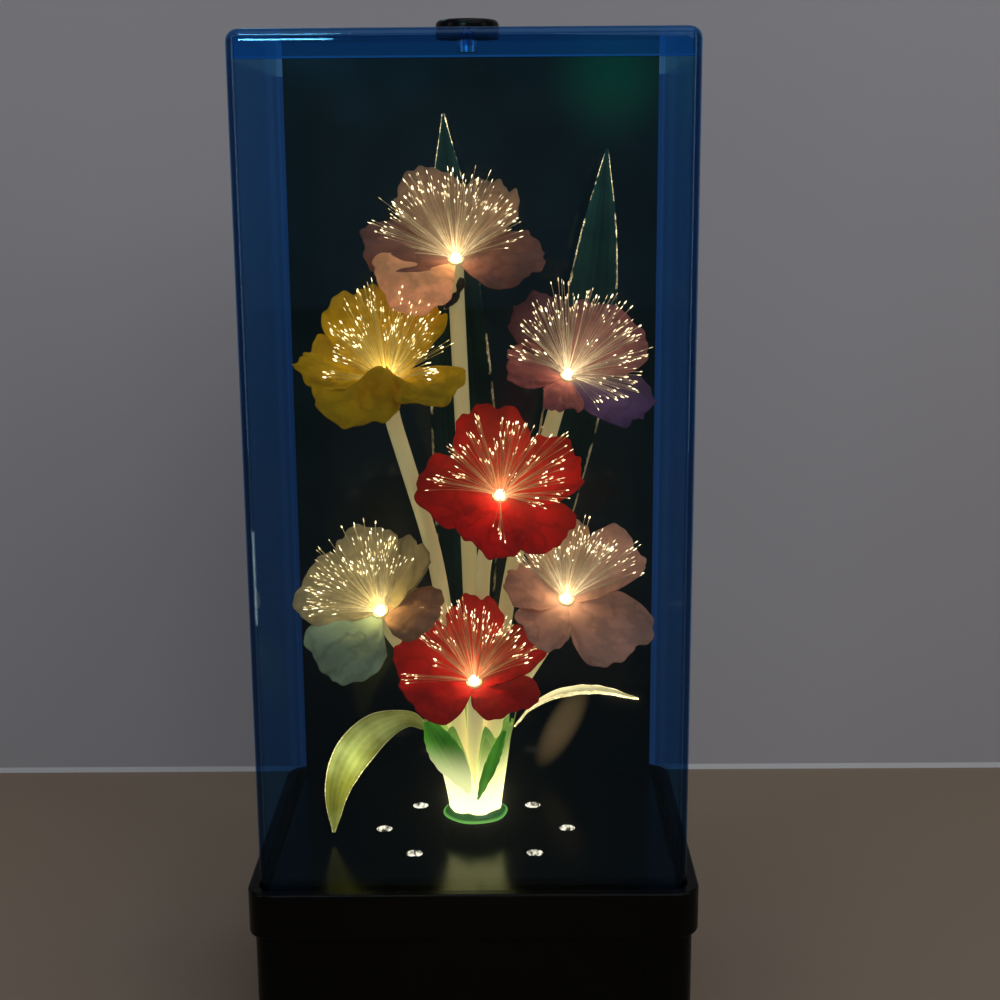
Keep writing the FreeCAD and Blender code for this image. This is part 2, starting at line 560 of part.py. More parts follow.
def wheel_frame():
    """Spoked disc with a hub; each window has a step that carries its filter."""
    disc = rod(WHEEL_X, 0, WHEEL_UNDER, WHEEL_TOP, WHEEL_RADIUS)
    hub = rod(WHEEL_X, 0, HUB_UNDER, HUB_UNDER + WHEEL_HUB_HEIGHT, WHEEL_HUB_RADIUS)
    frame = disc.fuse(hub).cut(rod(WHEEL_X, 0, 0, DECK_HEIGHT, SHAFT_RADIUS + THREAD_GAP))
    outer = WHEEL_RADIUS - WHEEL_RIM
    lap = FILTER_LAP
    step = WHEEL_TOP - FILTER_THICKNESS - FILTER_GAP
    for tool in sectors(WHEEL_INNER, outer, 0, WHEEL_UNDER - 1, WHEEL_TOP + 1):
        frame = frame.cut(tool)
    for tool in sectors(WHEEL_INNER - lap, outer + lap, lap, step, WHEEL_TOP + 1):
        frame = frame.cut(tool)
    return frame.removeSplitter()


def wheel_filters():
    """One coloured sheet a window, each on its step."""
    lap = FILTER_LAP - FILTER_GAP
    step = WHEEL_TOP - FILTER_THICKNESS - FILTER_GAP
    return group(sectors(WHEEL_INNER - lap, WHEEL_RADIUS - WHEEL_RIM + lap, lap, step, step + FILTER_THICKNESS))


def wheel_shaft():
    """Output shaft of the motor, up through the hub."""
    return rod(WHEEL_X, 0, MOTOR_FOOT + MOTOR_HEIGHT / 3, HUB_UNDER + WHEEL_HUB_HEIGHT, SHAFT_RADIUS)


def wheel_motor():
    """Flat synchronous motor: a can with two ears, a bush for its shaft and a lead box."""
    can = rod(MOTOR_X, 0, MOTOR_FOOT, MOTOR_TOP, MOTOR_RADIUS)
    can = can.makeFillet(1.0, [e for e in can.Edges if e.BoundBox.ZMin > MOTOR_TOP - 1e-3])
    ears = block(MOTOR_X - MOTOR_EAR_WIDTH / 2, MOTOR_X + MOTOR_EAR_WIDTH / 2, -MOTOR_EAR_REACH, MOTOR_EAR_REACH,
                 MOTOR_FOOT, MOTOR_FOOT + MOTOR_EAR_THICKNESS)
    bush = rod(WHEEL_X, 0, MOTOR_TOP - 1, MOTOR_TOP + MOTOR_BUSH_HEIGHT, MOTOR_BUSH_RADIUS)
    cap_w, cap_out, cap_h = MOTOR_CAP
    cap = block(MOTOR_X - cap_w / 2, MOTOR_X + cap_w / 2, MOTOR_RADIUS - 3, MOTOR_RADIUS - 3 + cap_out,
                MOTOR_FOOT + 4, MOTOR_FOOT + 4 + cap_h)
    motor = can.fuse([ears, bush, cap])
    bore_foot = MOTOR_FOOT + MOTOR_HEIGHT / 3 - HOLE_GAP
    motor = motor.cut(rod(WHEEL_X, 0, bore_foot, DECK_HEIGHT, SHAFT_RADIUS + SHAFT_GAP))
    for x, y in motor_screw_places():
        motor = motor.cut(rod(x, y, MOTOR_FOOT - 1, MOTOR_FOOT + MOTOR_EAR_THICKNESS + 1, SCREW_RADIUS + HOLE_GAP))
    return motor.removeSplitter()


def motor_screw_places():
    """Through the two ears of the motor."""
    y = MOTOR_EAR_REACH - SCREW_HEAD_RADIUS - 0.6
    return [(MOTOR_X, -y), (MOTOR_X, y)]


def motor_leg_places():
    """Feet of the motor's bracket."""
    y = MOTOR_LEG + SHEET + BRACKET_FOOT / 2
    return [(MOTOR_X, -y), (MOTOR_X, y)]


def motor_bracket():
    """Table of bent sheet on two legs with feet."""
    half = MOTOR_TABLE_WIDTH / 2
    x0 = MOTOR_X - half
    x1 = MOTOR_X + half
    outer = MOTOR_LEG + SHEET
    table = block(x0, x1, -outer, outer, MOTOR_FOOT - SHEET, MOTOR_FOOT)
    pieces = []
    for side in (-1, 1):
        leg = sorted((side * MOTOR_LEG, side * outer))
        foot = sorted((side * MOTOR_LEG, side * (outer + BRACKET_FOOT)))
        pieces.append(block(x0, x1, leg[0], leg[1], FLOOR_TOP, MOTOR_FOOT))
        pieces.append(block(x0, x1, foot[0], foot[1], FLOOR_TOP, FLOOR_TOP + SHEET))
    bracket = table.fuse(pieces)
    for x, y in motor_screw_places():
        bracket = bracket.cut(rod(x, y, MOTOR_FOOT - SHEET - 1, MOTOR_FOOT + 1, SCREW_RADIUS + THREAD_GAP))
    for x, y in motor_leg_places():
        bracket = bracket.cut(rod(x, y, FLOOR_TOP - 1, FLOOR_TOP + SHEET + 1, SCREW_RADIUS + HOLE_GAP))
    return bracket.removeSplitter()


# ---------------------------------------------------------------- transformer
def transformer_core():
    """Stack of laminations with two windows beside the middle limb."""
    half = CORE_STACK / 2
    x0 = TRANSFORMER_X - half
    x1 = TRANSFORMER_X + half
    core = block(x0, x1, -CORE_WIDTH / 2, CORE_WIDTH / 2, CORE_FOOT, CORE_FOOT + CORE_HEIGHT)
    z0 = CORE_FOOT + (CORE_HEIGHT - WINDOW_HEIGHT) / 2
    for side in (-1, 1):
        y = sorted((side * CORE_LIMB, side * (CORE_LIMB + WINDOW_WIDTH)))
        core = core.cut(block(x0 - 1, x1 + 1, y[0], y[1], z0, z0 + WINDOW_HEIGHT))
    return core


def transformer_winding():
    """Taped winding round the middle limb."""
    half_z = WINDOW_HEIGHT / 2 - WINDING_GAP
    mid_z = CORE_FOOT + CORE_HEIGHT / 2
    outer_y = CORE_LIMB + WINDOW_WIDTH - WINDING_GAP
    coil = slab(WINDING_X, outer_y, mid_z - half_z, mid_z + half_z, 2.0)
    coil.translate(V(TRANSFORMER_X, 0, 0))
    limb_x = CORE_STACK / 2 + WINDING_GAP
    limb_y = CORE_LIMB + WINDING_GAP
    return coil.cut(block(TRANSFORMER_X - limb_x, TRANSFORMER_X + limb_x, -limb_y, limb_y, 0, DECK_HEIGHT))


def transformer_strap():
    """Steel strap over the core with a foot on each side."""
    x0 = TRANSFORMER_X - STRAP_WIDTH / 2
    x1 = TRANSFORMER_X + STRAP_WIDTH / 2
    half = CORE_WIDTH / 2
    top = CORE_FOOT + CORE_HEIGHT
    pieces = [block(x0, x1, -half - STRAP, half + STRAP, FLOOR_TOP, CORE_FOOT)]
    for side in (-1, 1):
        wall = sorted((side * half, side * (half + STRAP)))
        foot = sorted((side * half, side * (half + STRAP + STRAP_FOOT)))
        pieces.append(block(x0, x1, wall[0], wall[1], FLOOR_TOP, top + STRAP))
        pieces.append(block(x0, x1, foot[0], foot[1], FLOOR_TOP, CORE_FOOT))
    strap = block(x0, x1, -half - STRAP, half + STRAP, top, top + STRAP).fuse(pieces)
    for x, y in strap_screw_places():
        strap = strap.cut(rod(x, y, FLOOR_TOP - 1, CORE_FOOT + 1, SCREW_RADIUS + HOLE_GAP))
    return strap.removeSplitter()


def strap_screw_places():
    """Feet of the transformer's strap."""
    y = CORE_WIDTH / 2 + STRAP + STRAP_FOOT / 2
    return [(TRANSFORMER_X, -y), (TRANSFORMER_X, y)]


def sheet_screw_places():
    """Every screw that goes down into the floor."""
    return lamp_screw_places() + motor_leg_places() + strap_screw_places()


def bracket_screws():
    """Short screws of the brackets, the strap and the motor's ears."""
    screws = [pan_screw(x, y, FLOOR_TOP + SHEET, SHEET_SCREW_LENGTH, -1)
              for x, y in lamp_screw_places() + motor_leg_places()]
    screws += [pan_screw(x, y, CORE_FOOT, SHEET_SCREW_LENGTH, -1) for x, y in strap_screw_places()]
    screws += [pan_screw(x, y, MOTOR_FOOT + MOTOR_EAR_THICKNESS, SHEET_SCREW_LENGTH, -1)
               for x, y in motor_screw_places()]
    return group(screws)


# ---------------------------------------------------------------- rear wall
def switch_body():
    """Snap-in switch case: a bezel outside, a box inside, open where the rocker tilts."""
    half_w = SWITCH_WIDTH / 2
    half_h = SWITCH_HEIGHT / 2
    x = SWITCH_X
    z = SWITCH_Z
    case = block(x - half_w, x + half_w, SWITCH_INNER, BODY_Y, z - half_h, z + half_h)
    rim_w = half_w + SWITCH_BEZEL_LAP
    rim_h = half_h + SWITCH_BEZEL_LAP
    bezel = block(x - rim_w, x + rim_w, BODY_Y, BODY_Y + SWITCH_BEZEL, z - rim_h, z + rim_h)
    bezel = bezel.makeFillet(SWITCH_BEZEL * 0.5, [e for e in bezel.Edges if e.BoundBox.YMin > BODY_Y + 0.1])
    inner_w = half_w - SWITCH_WALL
    inner_h = ROCKER_LENGTH / 2 + 3 * ROCKER_SIDE_GAP
    cavity = block(x - inner_w, x + inner_w, ROCKER_Y - ROCKER_ROOT - 1.5, BODY_Y + SWITCH_BEZEL + 1,
                   z - inner_h, z + inner_h)
    pin = Part.makeCylinder(ROCKER_PIN_RADIUS + SHAFT_GAP, SWITCH_WIDTH, V(x - half_w, ROCKER_Y, z), RIGHT)
    return case.fuse(bezel).cut(cavity).cut(pin).removeSplitter()


def rocker():
    """Shallow V shaped button on two pins, stored with its upper half pressed in."""
    half_w = SWITCH_WIDTH / 2 - SWITCH_WALL - ROCKER_SIDE_GAP
    half_l = ROCKER_LENGTH / 2
    outline = [(ROCKER_CREST, -half_l), (ROCKER_VALLEY, 0), (ROCKER_CREST, half_l), (-ROCKER_ROOT * 0.3, half_l),
               (-ROCKER_ROOT, half_l * 0.35), (-ROCKER_ROOT, -half_l * 0.35), (-ROCKER_ROOT * 0.3, -half_l)]
    points = [V(SWITCH_X - half_w, ROCKER_Y + y, SWITCH_Z + z) for y, z in outline]
    body = Part.Face(Part.makePolygon(points + [points[0]])).extrude(V(2 * half_w, 0, 0))
    pin_half = SWITCH_WIDTH / 2 - SWITCH_GAP
    pin = Part.makeCylinder(ROCKER_PIN_RADIUS, 2 * pin_half, V(SWITCH_X - pin_half, ROCKER_Y, SWITCH_Z), RIGHT)
    shape = body.fuse(pin)
    shape.rotate(V(SWITCH_X, ROCKER_Y, SWITCH_Z), RIGHT, ROCKER_THROW)
    return shape


def switch_tabs():
    """Two push-on tabs on the switch's inner end."""
    tabs = []
    for side in (-1, 1):
        z = SWITCH_Z + side * TAB_PITCH / 2
        tabs.append(block(SWITCH_X - TAB_WIDTH / 2, SWITCH_X + TAB_WIDTH / 2, SWITCH_INNER - TAB_LENGTH,
                          SWITCH_INNER, z - TAB_THICKNESS / 2, z + TAB_THICKNESS / 2))
    return group(tabs)


def cord_inlet():
    """Rubber bush in the rear wall, grooved to hold the wall, bored for the mains cord."""
    out = BODY_Y + INLET_FLANGE_THICKNESS
    inn = ROOM_Y - INLET_FLANGE_THICKNESS
    origin = V(INLET_X, inn, INLET_Z)
    bush = Part.makeCylinder(INLET_GROOVE, out - inn, origin, REAR)
    inner = Part.makeCylinder(INLET_FLANGE, INLET_FLANGE_THICKNESS, origin, REAR)
    outer = Part.makeCylinder(INLET_FLANGE, INLET_FLANGE_THICKNESS, V(INLET_X, BODY_Y, INLET_Z), REAR)
    rim = [e for e in outer.Edges if e.BoundBox.YMin > out - 1e-3]
    outer = outer.makeFillet(INLET_FLANGE_THICKNESS * 0.5, rim)
    bore = Part.makeCylinder(INLET_BORE, 2 * (out - inn), V(INLET_X, inn - 1, INLET_Z), REAR)
    return bush.fuse([inner, outer]).cut(bore).removeSplitter()


def terminal_block():
    """Connector strip that joins the mains cord to the leads, with two screw wells on its top."""
    w, d, h = BLOCK_SIZE
    body = block(BLOCK_X - w / 2, BLOCK_X + w / 2, BLOCK_Y - d / 2, BLOCK_Y + d / 2, FLOOR_TOP, FLOOR_TOP + h)
    for side in (-1, 1):
        body = body.cut(rod(BLOCK_X + side * w / 4, BLOCK_Y, FLOOR_TOP + h / 2, FLOOR_TOP + h + 1, w / 10))
    return body


def lead(points):
    """Insulated lead through hand placed points."""
    return swept(route([V(*p) for p in points], BEND_REACH), LEAD_RADIUS)


def switch_lead():
    """From the terminal block to the lower tab of the switch."""
    start = BLOCK_X + BLOCK_SIZE[0] / 2
    low = FLOOR_TOP + BLOCK_SIZE[2] / 2
    z = SWITCH_Z - TAB_PITCH / 2
    y = SWITCH_INNER - TAB_LENGTH
    return lead([(start, BLOCK_Y - 2, low), (start + 10, BLOCK_Y - 2, low), (SWITCH_X - 14, y + 1, low + 6),
                 (SWITCH_X, y - 9, z), (SWITCH_X, y, z)])


def transformer_lead():
    """From the terminal block's front to the side of the winding."""
    x = BLOCK_X + BLOCK_SIZE[0] / 3
    y = BLOCK_Y - BLOCK_SIZE[1] / 2
    low = FLOOR_TOP + BLOCK_SIZE[2] / 2
    face = TRANSFORMER_X + WINDING_X
    mid_z = CORE_FOOT + CORE_HEIGHT / 2
    return lead([(x, y, low), (x, y - 6, low), (face + 5, CORE_WIDTH / 2 - 4, low + 3), (face + 8, 5, mid_z),
                 (face, 5, mid_z)])


def lamp_lead():
    """From the winding to the lamp holder."""
    face = TRANSFORMER_X + WINDING_X
    mid_z = CORE_FOOT + CORE_HEIGHT / 2
    low = FLOOR_TOP + SHEET + HOLDER_HEIGHT / 2
    return lead([(face, -5, mid_z - 4), (face + 7, -5, mid_z - 4), (face + 13, 0, low),
                 (-HOLDER_WIDTH / 2, 0, low)])


def motor_lead():
    """From the terminal block round under the switch to the motor's lead box."""
    cap_w, cap_out, cap_h = MOTOR_CAP
    end = MOTOR_RADIUS - 3 + cap_out
    z = MOTOR_FOOT + 4 + cap_h / 2
    start = BLOCK_X + BLOCK_SIZE[0] / 2
    low = FLOOR_TOP + BLOCK_SIZE[2] / 4 + 1
    y = BLOCK_Y + BLOCK_SIZE[1] / 4
    return lead([(start, y, low), (start + 14, y, low), (SWITCH_X - 12, y + 3, low + 1), (MOTOR_X - 14, y - 2, low + 8),
                 (MOTOR_X, y - 9, z), (MOTOR_X, end, z)])


# ---------------------------------------------------------------- bundle foot
def bundle_socket():
    """Black flanged bush that grips the foot of the bouquet in the deck."""
    foot = DECK_HEIGHT - SOCKET_DROP
    return revolved([(SOCKET_BORE, foot), (NECK_RADIUS, foot), (NECK_RADIUS, DECK_HEIGHT),
                     (SOCKET_FLANGE_RADIUS, DECK_HEIGHT), (SOCKET_FLANGE_RADIUS, SOCKET_TOP - 1),
                     (SOCKET_FLANGE_RADIUS - 1, SOCKET_TOP), (SOCKET_BORE, SOCKET_TOP)])


def socket_nut():
    """Hexagon ring nut under the deck."""
    points = [V(NUT_RADIUS * math.cos(math.radians(60 * i)), NUT_RADIUS * math.sin(math.radians(60 * i)),
                DECK_UNDER - NUT_HEIGHT) for i in range(6)]
    hexagon = Part.Face(Part.makePolygon(points + [points[0]])).extrude(V(0, 0, NUT_HEIGHT))
    return hexagon.cut(rod(0, 0, 0, DECK_HEIGHT, NECK_RADIUS + THREAD_GAP))


def sheath_radius(z):
    """Outer radius of the leaf sheath, widening faster towards its top."""
    t = (z - SOCKET_TOP) / SHEATH_HEIGHT
    return SHEATH_FOOT_RADIUS + (SHEATH_TOP_RADIUS - SHEATH_FOOT_RADIUS) * t ** 1.3


def sheath_shift(z):
    """Sideways lean of the sheath's middle."""
    t = (z - SOCKET_TOP) / SHEATH_HEIGHT
    return SHEATH_LEAN * t * t


def leaf_sheath():
    """Thin pale green cup of wrapped leaf feet with a flared foot and a notched rim."""
    def cone(inset, below, above):
        """Loft through circles of the sheath, smaller by inset."""
        rings = []
        for i in range(5):
            z = SOCKET_TOP + SHEATH_HEIGHT * i / 4
            lift = -below if i == 0 else above if i == 4 else 0
            rings.append(Part.Wire(Part.makeCircle(sheath_radius(z) - inset, V(sheath_shift(z), 0, z + lift), UP)))
        return Part.makeLoft(rings, True)
    foot = SHEATH_FOOT_RADIUS
    flare = revolved([(foot - SHEATH_WALL, SOCKET_TOP), (FLARE_RADIUS, SOCKET_TOP),
                      (FLARE_RADIUS - 1.0, SOCKET_TOP + FLARE_HEIGHT / 3), (foot, SOCKET_TOP + FLARE_HEIGHT)])
    cup = cone(0, 0, 0).fuse(flare).cut(cone(SHEATH_WALL, 1, 1))
    top = SOCKET_TOP + SHEATH_HEIGHT
    for i in range(SHEATH_NOTCHES):
        notch = Part.makePolygon([V(0, -4, top + 1), V(0, 4, top + 1), V(0, 0, top - 11), V(0, -4, top + 1)])
        wedge = Part.Face(notch).extrude(V(2 * SHEATH_TOP_RADIUS, 0, 0))
        wedge.rotate(V(0, 0, 0), UP, 360.0 * i / SHEATH_NOTCHES + 18)
        wedge.translate(V(SHEATH_LEAN, 0, 0))
        cup = cup.cut(wedge)
    return cup


# ---------------------------------------------------------------- leaves
def beside_sheath(angle, z, away):
    """Point off the outside of the sheath at an angle round it and a height."""
    reach = sheath_radius(z) + away
    return (sheath_shift(z) + reach * math.cos(math.radians(angle)), reach * math.sin(math.radians(angle)), z)


def blade(spine, width, shares, foot_face, tip_face, camber):
    """Leaf lofted through thin lens sections along a smooth spine; each share of the width is one section.

    The leaf turns from its foot's face to its tip's face over its first half.
    """
    curve = Part.BSplineCurve()
    curve.interpolate([V(*p) for p in spine])
    sections = []
    last = len(shares) - 1
    for i, share in enumerate(shares):
        t = curve.FirstParameter + (curve.LastParameter - curve.FirstParameter) * i / last
        point = curve.value(t)
        along = curve.tangent(t)[0]
        turned = min(1.0, 2.0 * i / last)
        side = along.cross(V(*foot_face) * (1 - turned) + V(*tip_face) * turned).normalize()
        out = side.cross(along).normalize()
        left = point - side * (share * width / 2)
        right = point + side * (share * width / 2)
        thick = LEAF_THICKNESS if share > 0.1 else LEAF_THICKNESS * 0.6
        high = point + out * (camber * share * width + thick / 2)
        low = point + out * (camber * share * width - thick / 2)
        sections.append(Part.Wire([Part.Arc(left, high, right).toShape(), Part.Arc(right, low, left).toShape()]))
    return Part.makeLoft(sections, True)


def leaf_tall_middle():
    """Tallest blade, behind the stems, nearly upright; its foot lies along the sheath."""
    foot = SOCKET_TOP + 0.55 * SHEATH_HEIGHT
    rim = SOCKET_TOP + SHEATH_HEIGHT
    tip = CEILING - LEAF_HEADROOM
    reach = tip - rim
    back = SHEATH_TOP_RADIUS + 7
    spine = [beside_sheath(90, foot, LEAF_CLEAR + 0.8), beside_sheath(90, rim, LEAF_CLEAR + 2.2),
             (-2.5, back, rim + 0.2 * reach), (-3, back + 3, rim + 0.42 * reach),
             (-6, back + 2, rim + 0.7 * reach), (-9.4, back - 5, tip)]
    shares = (0.2, 0.56, 0.88, 1, 0.96, 0.8, 0.56, 0.03)
    return blade(spine, TALL_LEAF_WIDTH, shares, (0, -1, 0), (0, -1, 0), 0.05)


def leaf_tall_right():
    """Second tall blade, leaning to the right behind the bouquet; its foot lies along the sheath."""
    foot = SOCKET_TOP + 0.55 * SHEATH_HEIGHT
    rim = SOCKET_TOP + SHEATH_HEIGHT
    tip = CEILING - LEAF_HEADROOM - SECOND_LEAF_DROP
    reach = tip - rim
    side = SHEATH_TOP_RADIUS + 5
    spine = [beside_sheath(38, foot, LEAF_CLEAR + 0.8), beside_sheath(38, rim, LEAF_CLEAR + 2.0),
             (side, 17, rim + 0.2 * reach), (side + 10.5, 22, rim + 0.42 * reach),
             (side + 22.5, 24, rim + 0.72 * reach), (side + 28.5, 22, tip)]
    shares = (0.23, 0.5, 0.64, 0.82, 1, 0.95, 0.64, 0.035)
    return blade(spine, SECOND_LEAF_WIDTH, shares, (-0.79, -0.62, 0), (0.1, -1, 0), 0.05)


def leaf_droop_left():
    """Blade that arches out over the left of the deck and hangs down, its face to the front."""
    top = SOCKET_TOP + SHEATH_HEIGHT
    x = SHEATH_LEAN - SHEATH_TOP_RADIUS
    fall = top - DECK_HEIGHT - LEFT_LEAF_CLEAR
    spine = [(x - 0.3, -5, top - 1.5), (x - 0.14 * LEFT_LEAF_REACH, -6, top + 1.5),
             (x - 0.46 * LEFT_LEAF_REACH, -8, top - 0.5), (x - 0.77 * LEFT_LEAF_REACH, -9, top - 0.26 * fall),
             (x - 0.94 * LEFT_LEAF_REACH, -9, top - 0.57 * fall), (x - LEFT_LEAF_REACH, -10, top - fall)]
    shares = (0.21, 0.5, 0.86, 1, 0.93, 0.71, 0.43, 0.06)
    return blade(spine, LEFT_LEAF_WIDTH, shares, (0, -1, 0.15), (0, -1, 0.15), 0.08)


def leaf_droop_right():
    """Blade that arches out to the right, seen nearly edge-on from the front."""
    top = SOCKET_TOP + SHEATH_HEIGHT
    x = SHEATH_LEAN + SHEATH_TOP_RADIUS
    spine = [(x + 0.8, -4, top - 2), (x + 0.17 * RIGHT_LEAF_REACH, -5, top + 0.48 * RIGHT_LEAF_RISE),
             (x + 0.34 * RIGHT_LEAF_REACH, -6, top + 0.81 * RIGHT_LEAF_RISE),
             (x + 0.67 * RIGHT_LEAF_REACH, -8, top + RIGHT_LEAF_RISE),
             (x + RIGHT_LEAF_REACH, -10, top + 0.78 * RIGHT_LEAF_RISE)]
    shares = (0.23, 0.62, 0.92, 1, 0.85, 0.54, 0.06)
    return blade(spine, RIGHT_LEAF_WIDTH, shares, (0, -0.12, 1), (0, -0.12, 1), 0.08)


def small_leaves():
    """Two short blades that hug the sheath, one each side of the front stem."""
    leaves = []
    for side, spread, reach in ((-1, 0.80, SMALL_LEAF_REACH[0]), (1, 0.72, SMALL_LEAF_REACH[1])):
        points = []
        for i in range(4):
            z = SOCKET_TOP + 8 + reach * i / 3
            points.append(beside_sheath(270 + side * (20 + 16 * i) * spread, z, LEAF_CLEAR + 0.9))
        face = (side * 0.5, -1, -0.2)
        leaves.append(blade(points, SMALL_LEAF_WIDTH, (0.22, 0.78, 1, 0.78, 0.09), face, face, 0.10))
    return group(leaves)


# ---------------------------------------------------------------- flowers
def axes(flower):
    """Face, right and up directions of a flower from its turn and lift."""
    turn = math.radians(flower["turn"])
    lift = math.radians(flower["lift"])
    face = V(math.cos(lift) * math.sin(turn), -math.cos(lift) * math.cos(turn), math.sin(lift))
    right = V(math.cos(turn), math.sin(turn), 0)
    return face, right, face.cross(right)


def root_of(flower):
    """Where the stem ends and the light guides leave it."""
    x, y, z = flower["root"]
    return V(x, y, DECK_HEIGHT + z)


def stem_path(flower):
    """Upright in the socket, past one chosen point if any, and into the flower along its axis."""
    angle = SEATS[flower["seat"]]
    ring = 0 if angle is None else SEAT_CIRCLE
    x = ring * math.cos(math.radians(angle or 0))
    y = ring * math.sin(math.radians(angle or 0))
    root = root_of(flower)
    points = [V(x, y, BUNDLE_END), V(x, y, SOCKET_TOP + flower["straight"])]
    if flower["via"]:
        vx, vy, vz = flower["via"]
        points.append(V(vx, vy, DECK_HEIGHT + vz))
    points += [root - axes(flower)[0] * NECK_LENGTH, root]
    return route(points, BEND_REACH)


def stem(flower):
    """Thin ivory tube along the stem's path."""
    path = stem_path(flower)
    return swept(path, STEM_RADIUS).cut(swept(path, STEM_RADIUS - STEM_WALL))


def light_guides(flower):
    """Bundle inside the stem, its domed end and the guides that fan out inside the petals in an even spiral."""
    root = root_of(flower)
    face, right, above = axes(flower)
    radius = STEM_RADIUS - STEM_WALL - GUIDE_GAP
    core = swept(stem_path(flower), radius).fuse(Part.makeSphere(radius, root))
    reach = GUIDE_SHARE * sum(petal[2] for petal in flower["petals"]) / len(flower["petals"])
    guides = []
    for i in range(GUIDES):
        turn = 137.508 * i
        opening = petal_at(flower["petals"], turn)[0] - GUIDE_TO_PETAL
        lean = math.radians(opening * math.sqrt((i + 0.5) / GUIDES))
        outward = right * math.cos(math.radians(turn)) + above * math.sin(math.radians(turn))
        way = face * math.cos(lean) + outward * math.sin(lean)
        length = reach * (1 - 0.06 * (i % 3)) - radius * 0.7
        guides.append(Part.makeCylinder(GUIDE_RADIUS, length, root + way * (radius * 0.7), way))
    return core.fuse(guides)


def petal_at(petals, angle):
    """Opening and length of the corolla's rim at an angle, eased between two petals."""
    count = len(petals)
    for k in range(count):
        here = petals[k]
        nxt = petals[(k + 1) % count]
        gap = (nxt[0] - here[0]) % 360
        past = (angle - here[0]) % 360
        if past < gap:
            u = past / gap
            ease = u * u * (3 - 2 * u)
            length = here[2] + (nxt[2] - here[2]) * ease
            notch = PETAL_NOTCH * math.sin(math.pi * u) ** 6 * min(gap / 72.0, 1.25)
            return here[1] + (nxt[1] - here[1]) * ease, length * (1 - notch)
    return petals[0][1], petals[0][2]


def corolla(flower):
    """Five petals in one thin sheet with a hole for the stem: one surface closed both ways."""
    root = root_of(flower)
    face, right, above = axes(flower)
    hole = STEM_RADIUS + STEM_GAP
    steps = (0.0, 0.12, 0.3, 0.5, 0.7, 0.88, 1.0)
    around = 48
    grid = []
    for i in range(around):
        angle = 360.0 * i / around
        opening, length = petal_at(flower["petals"], angle)
        lean = math.radians(opening)
        outward = right * math.cos(math.radians(angle)) + above * math.sin(math.radians(angle))
        normal = face * math.sin(lean) - outward * math.cos(lean)
        front = []
        for t in steps:
            ripple = 0.7 * t * t * math.sin(math.radians(10 * angle))
            rise = length * math.cos(lean) * t ** PETAL_BOWL + ripple - 1.0
            front.append(root + outward * (hole + (length - hole) * math.sin(lean) * t) + face * rise)
        rear = [p - normal * PETAL_THICKNESS for p in front]
        rear[0] = front[0] - face * PETAL_THICKNESS
        rear[1] = front[1] - face * PETAL_THICKNESS
        grid.append(front + rear[::-1])
    surface = Part.BSplineSurface()
    across = len(grid[0])
    surface.buildFromPolesMultsKnots(grid, [1] * (around + 1), [1] * (across + 1),
                                     list(range(around + 1)), list(range(across + 1)), True, True, 3, 3)
    solid = Part.Solid(Part.Shell([surface.toShape()]))
    if solid.Volume < 0:
        solid.reverse()
    return solid


# ---------------------------------------------------------------- all nodes
PIECES = {
    "display_cover": display_cover, "back_panel": back_panel, "lift_knob": lift_knob, "knob_screw": knob_screw,
    "base_housing": base_housing, "deck_plate": deck_plate, "bottom_plate": bottom_plate,
    "rubber_feet": rubber_feet, "case_screws": case_screws, "bundle_socket": bundle_socket,
    "socket_nut": socket_nut, "lamp_reflector": lamp_reflector, "lamp_capsule": lamp_capsule,
    "lamp_holder": lamp_holder, "lamp_bracket": lamp_bracket, "wheel_frame": wheel_frame,
    "wheel_filters": wheel_filters, "wheel_shaft": wheel_shaft, "wheel_motor": wheel_motor,
    "motor_bracket": motor_bracket, "transformer_core": transformer_core,
    "transformer_winding": transformer_winding, "transformer_strap": transformer_strap,
    "bracket_screws": bracket_screws, "switch_body": switch_body, "rocker": rocker, "switch_tabs": switch_tabs,
    "cord_inlet": cord_inlet, "terminal_block": terminal_block, "switch_lead": switch_lead,
    "transformer_lead": transformer_lead, "lamp_lead": lamp_lead, "motor_lead": motor_lead,
    "leaf_sheath": leaf_sheath, "leaf_tall_middle": leaf_tall_middle,
    "leaf_tall_right": leaf_tall_right, "leaf_droop_left": leaf_droop_left,
    "leaf_droop_right": leaf_droop_right, "small_leaves": small_leaves,
}

for name, make in PIECES.items():
    save(name, make())
for name, flower in FLOWERS.items():
    save("stem_" + name, stem(flower))
    save("guides_" + name, light_guides(flower))
    save("petals_" + name, corolla(flower))
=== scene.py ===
"""Looks of the fibre optic flower lamp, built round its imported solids. Lengths in the tables are mm."""

import json
import math

import bpy
import numpy as np
from mathutils import Matrix, Vector


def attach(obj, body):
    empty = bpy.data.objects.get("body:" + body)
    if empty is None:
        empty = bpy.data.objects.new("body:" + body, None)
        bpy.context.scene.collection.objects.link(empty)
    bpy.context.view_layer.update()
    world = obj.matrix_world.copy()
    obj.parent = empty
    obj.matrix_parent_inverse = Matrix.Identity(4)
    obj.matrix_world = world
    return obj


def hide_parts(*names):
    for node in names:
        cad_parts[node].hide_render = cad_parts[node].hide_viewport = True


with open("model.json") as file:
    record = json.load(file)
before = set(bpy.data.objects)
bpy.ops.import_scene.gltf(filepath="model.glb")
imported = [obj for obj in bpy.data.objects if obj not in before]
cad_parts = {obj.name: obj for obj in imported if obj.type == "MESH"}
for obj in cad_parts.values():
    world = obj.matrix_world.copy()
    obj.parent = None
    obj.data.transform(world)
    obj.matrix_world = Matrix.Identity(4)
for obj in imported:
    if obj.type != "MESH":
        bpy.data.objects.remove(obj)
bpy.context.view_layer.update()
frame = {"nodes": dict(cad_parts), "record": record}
scene = bpy.context.scene

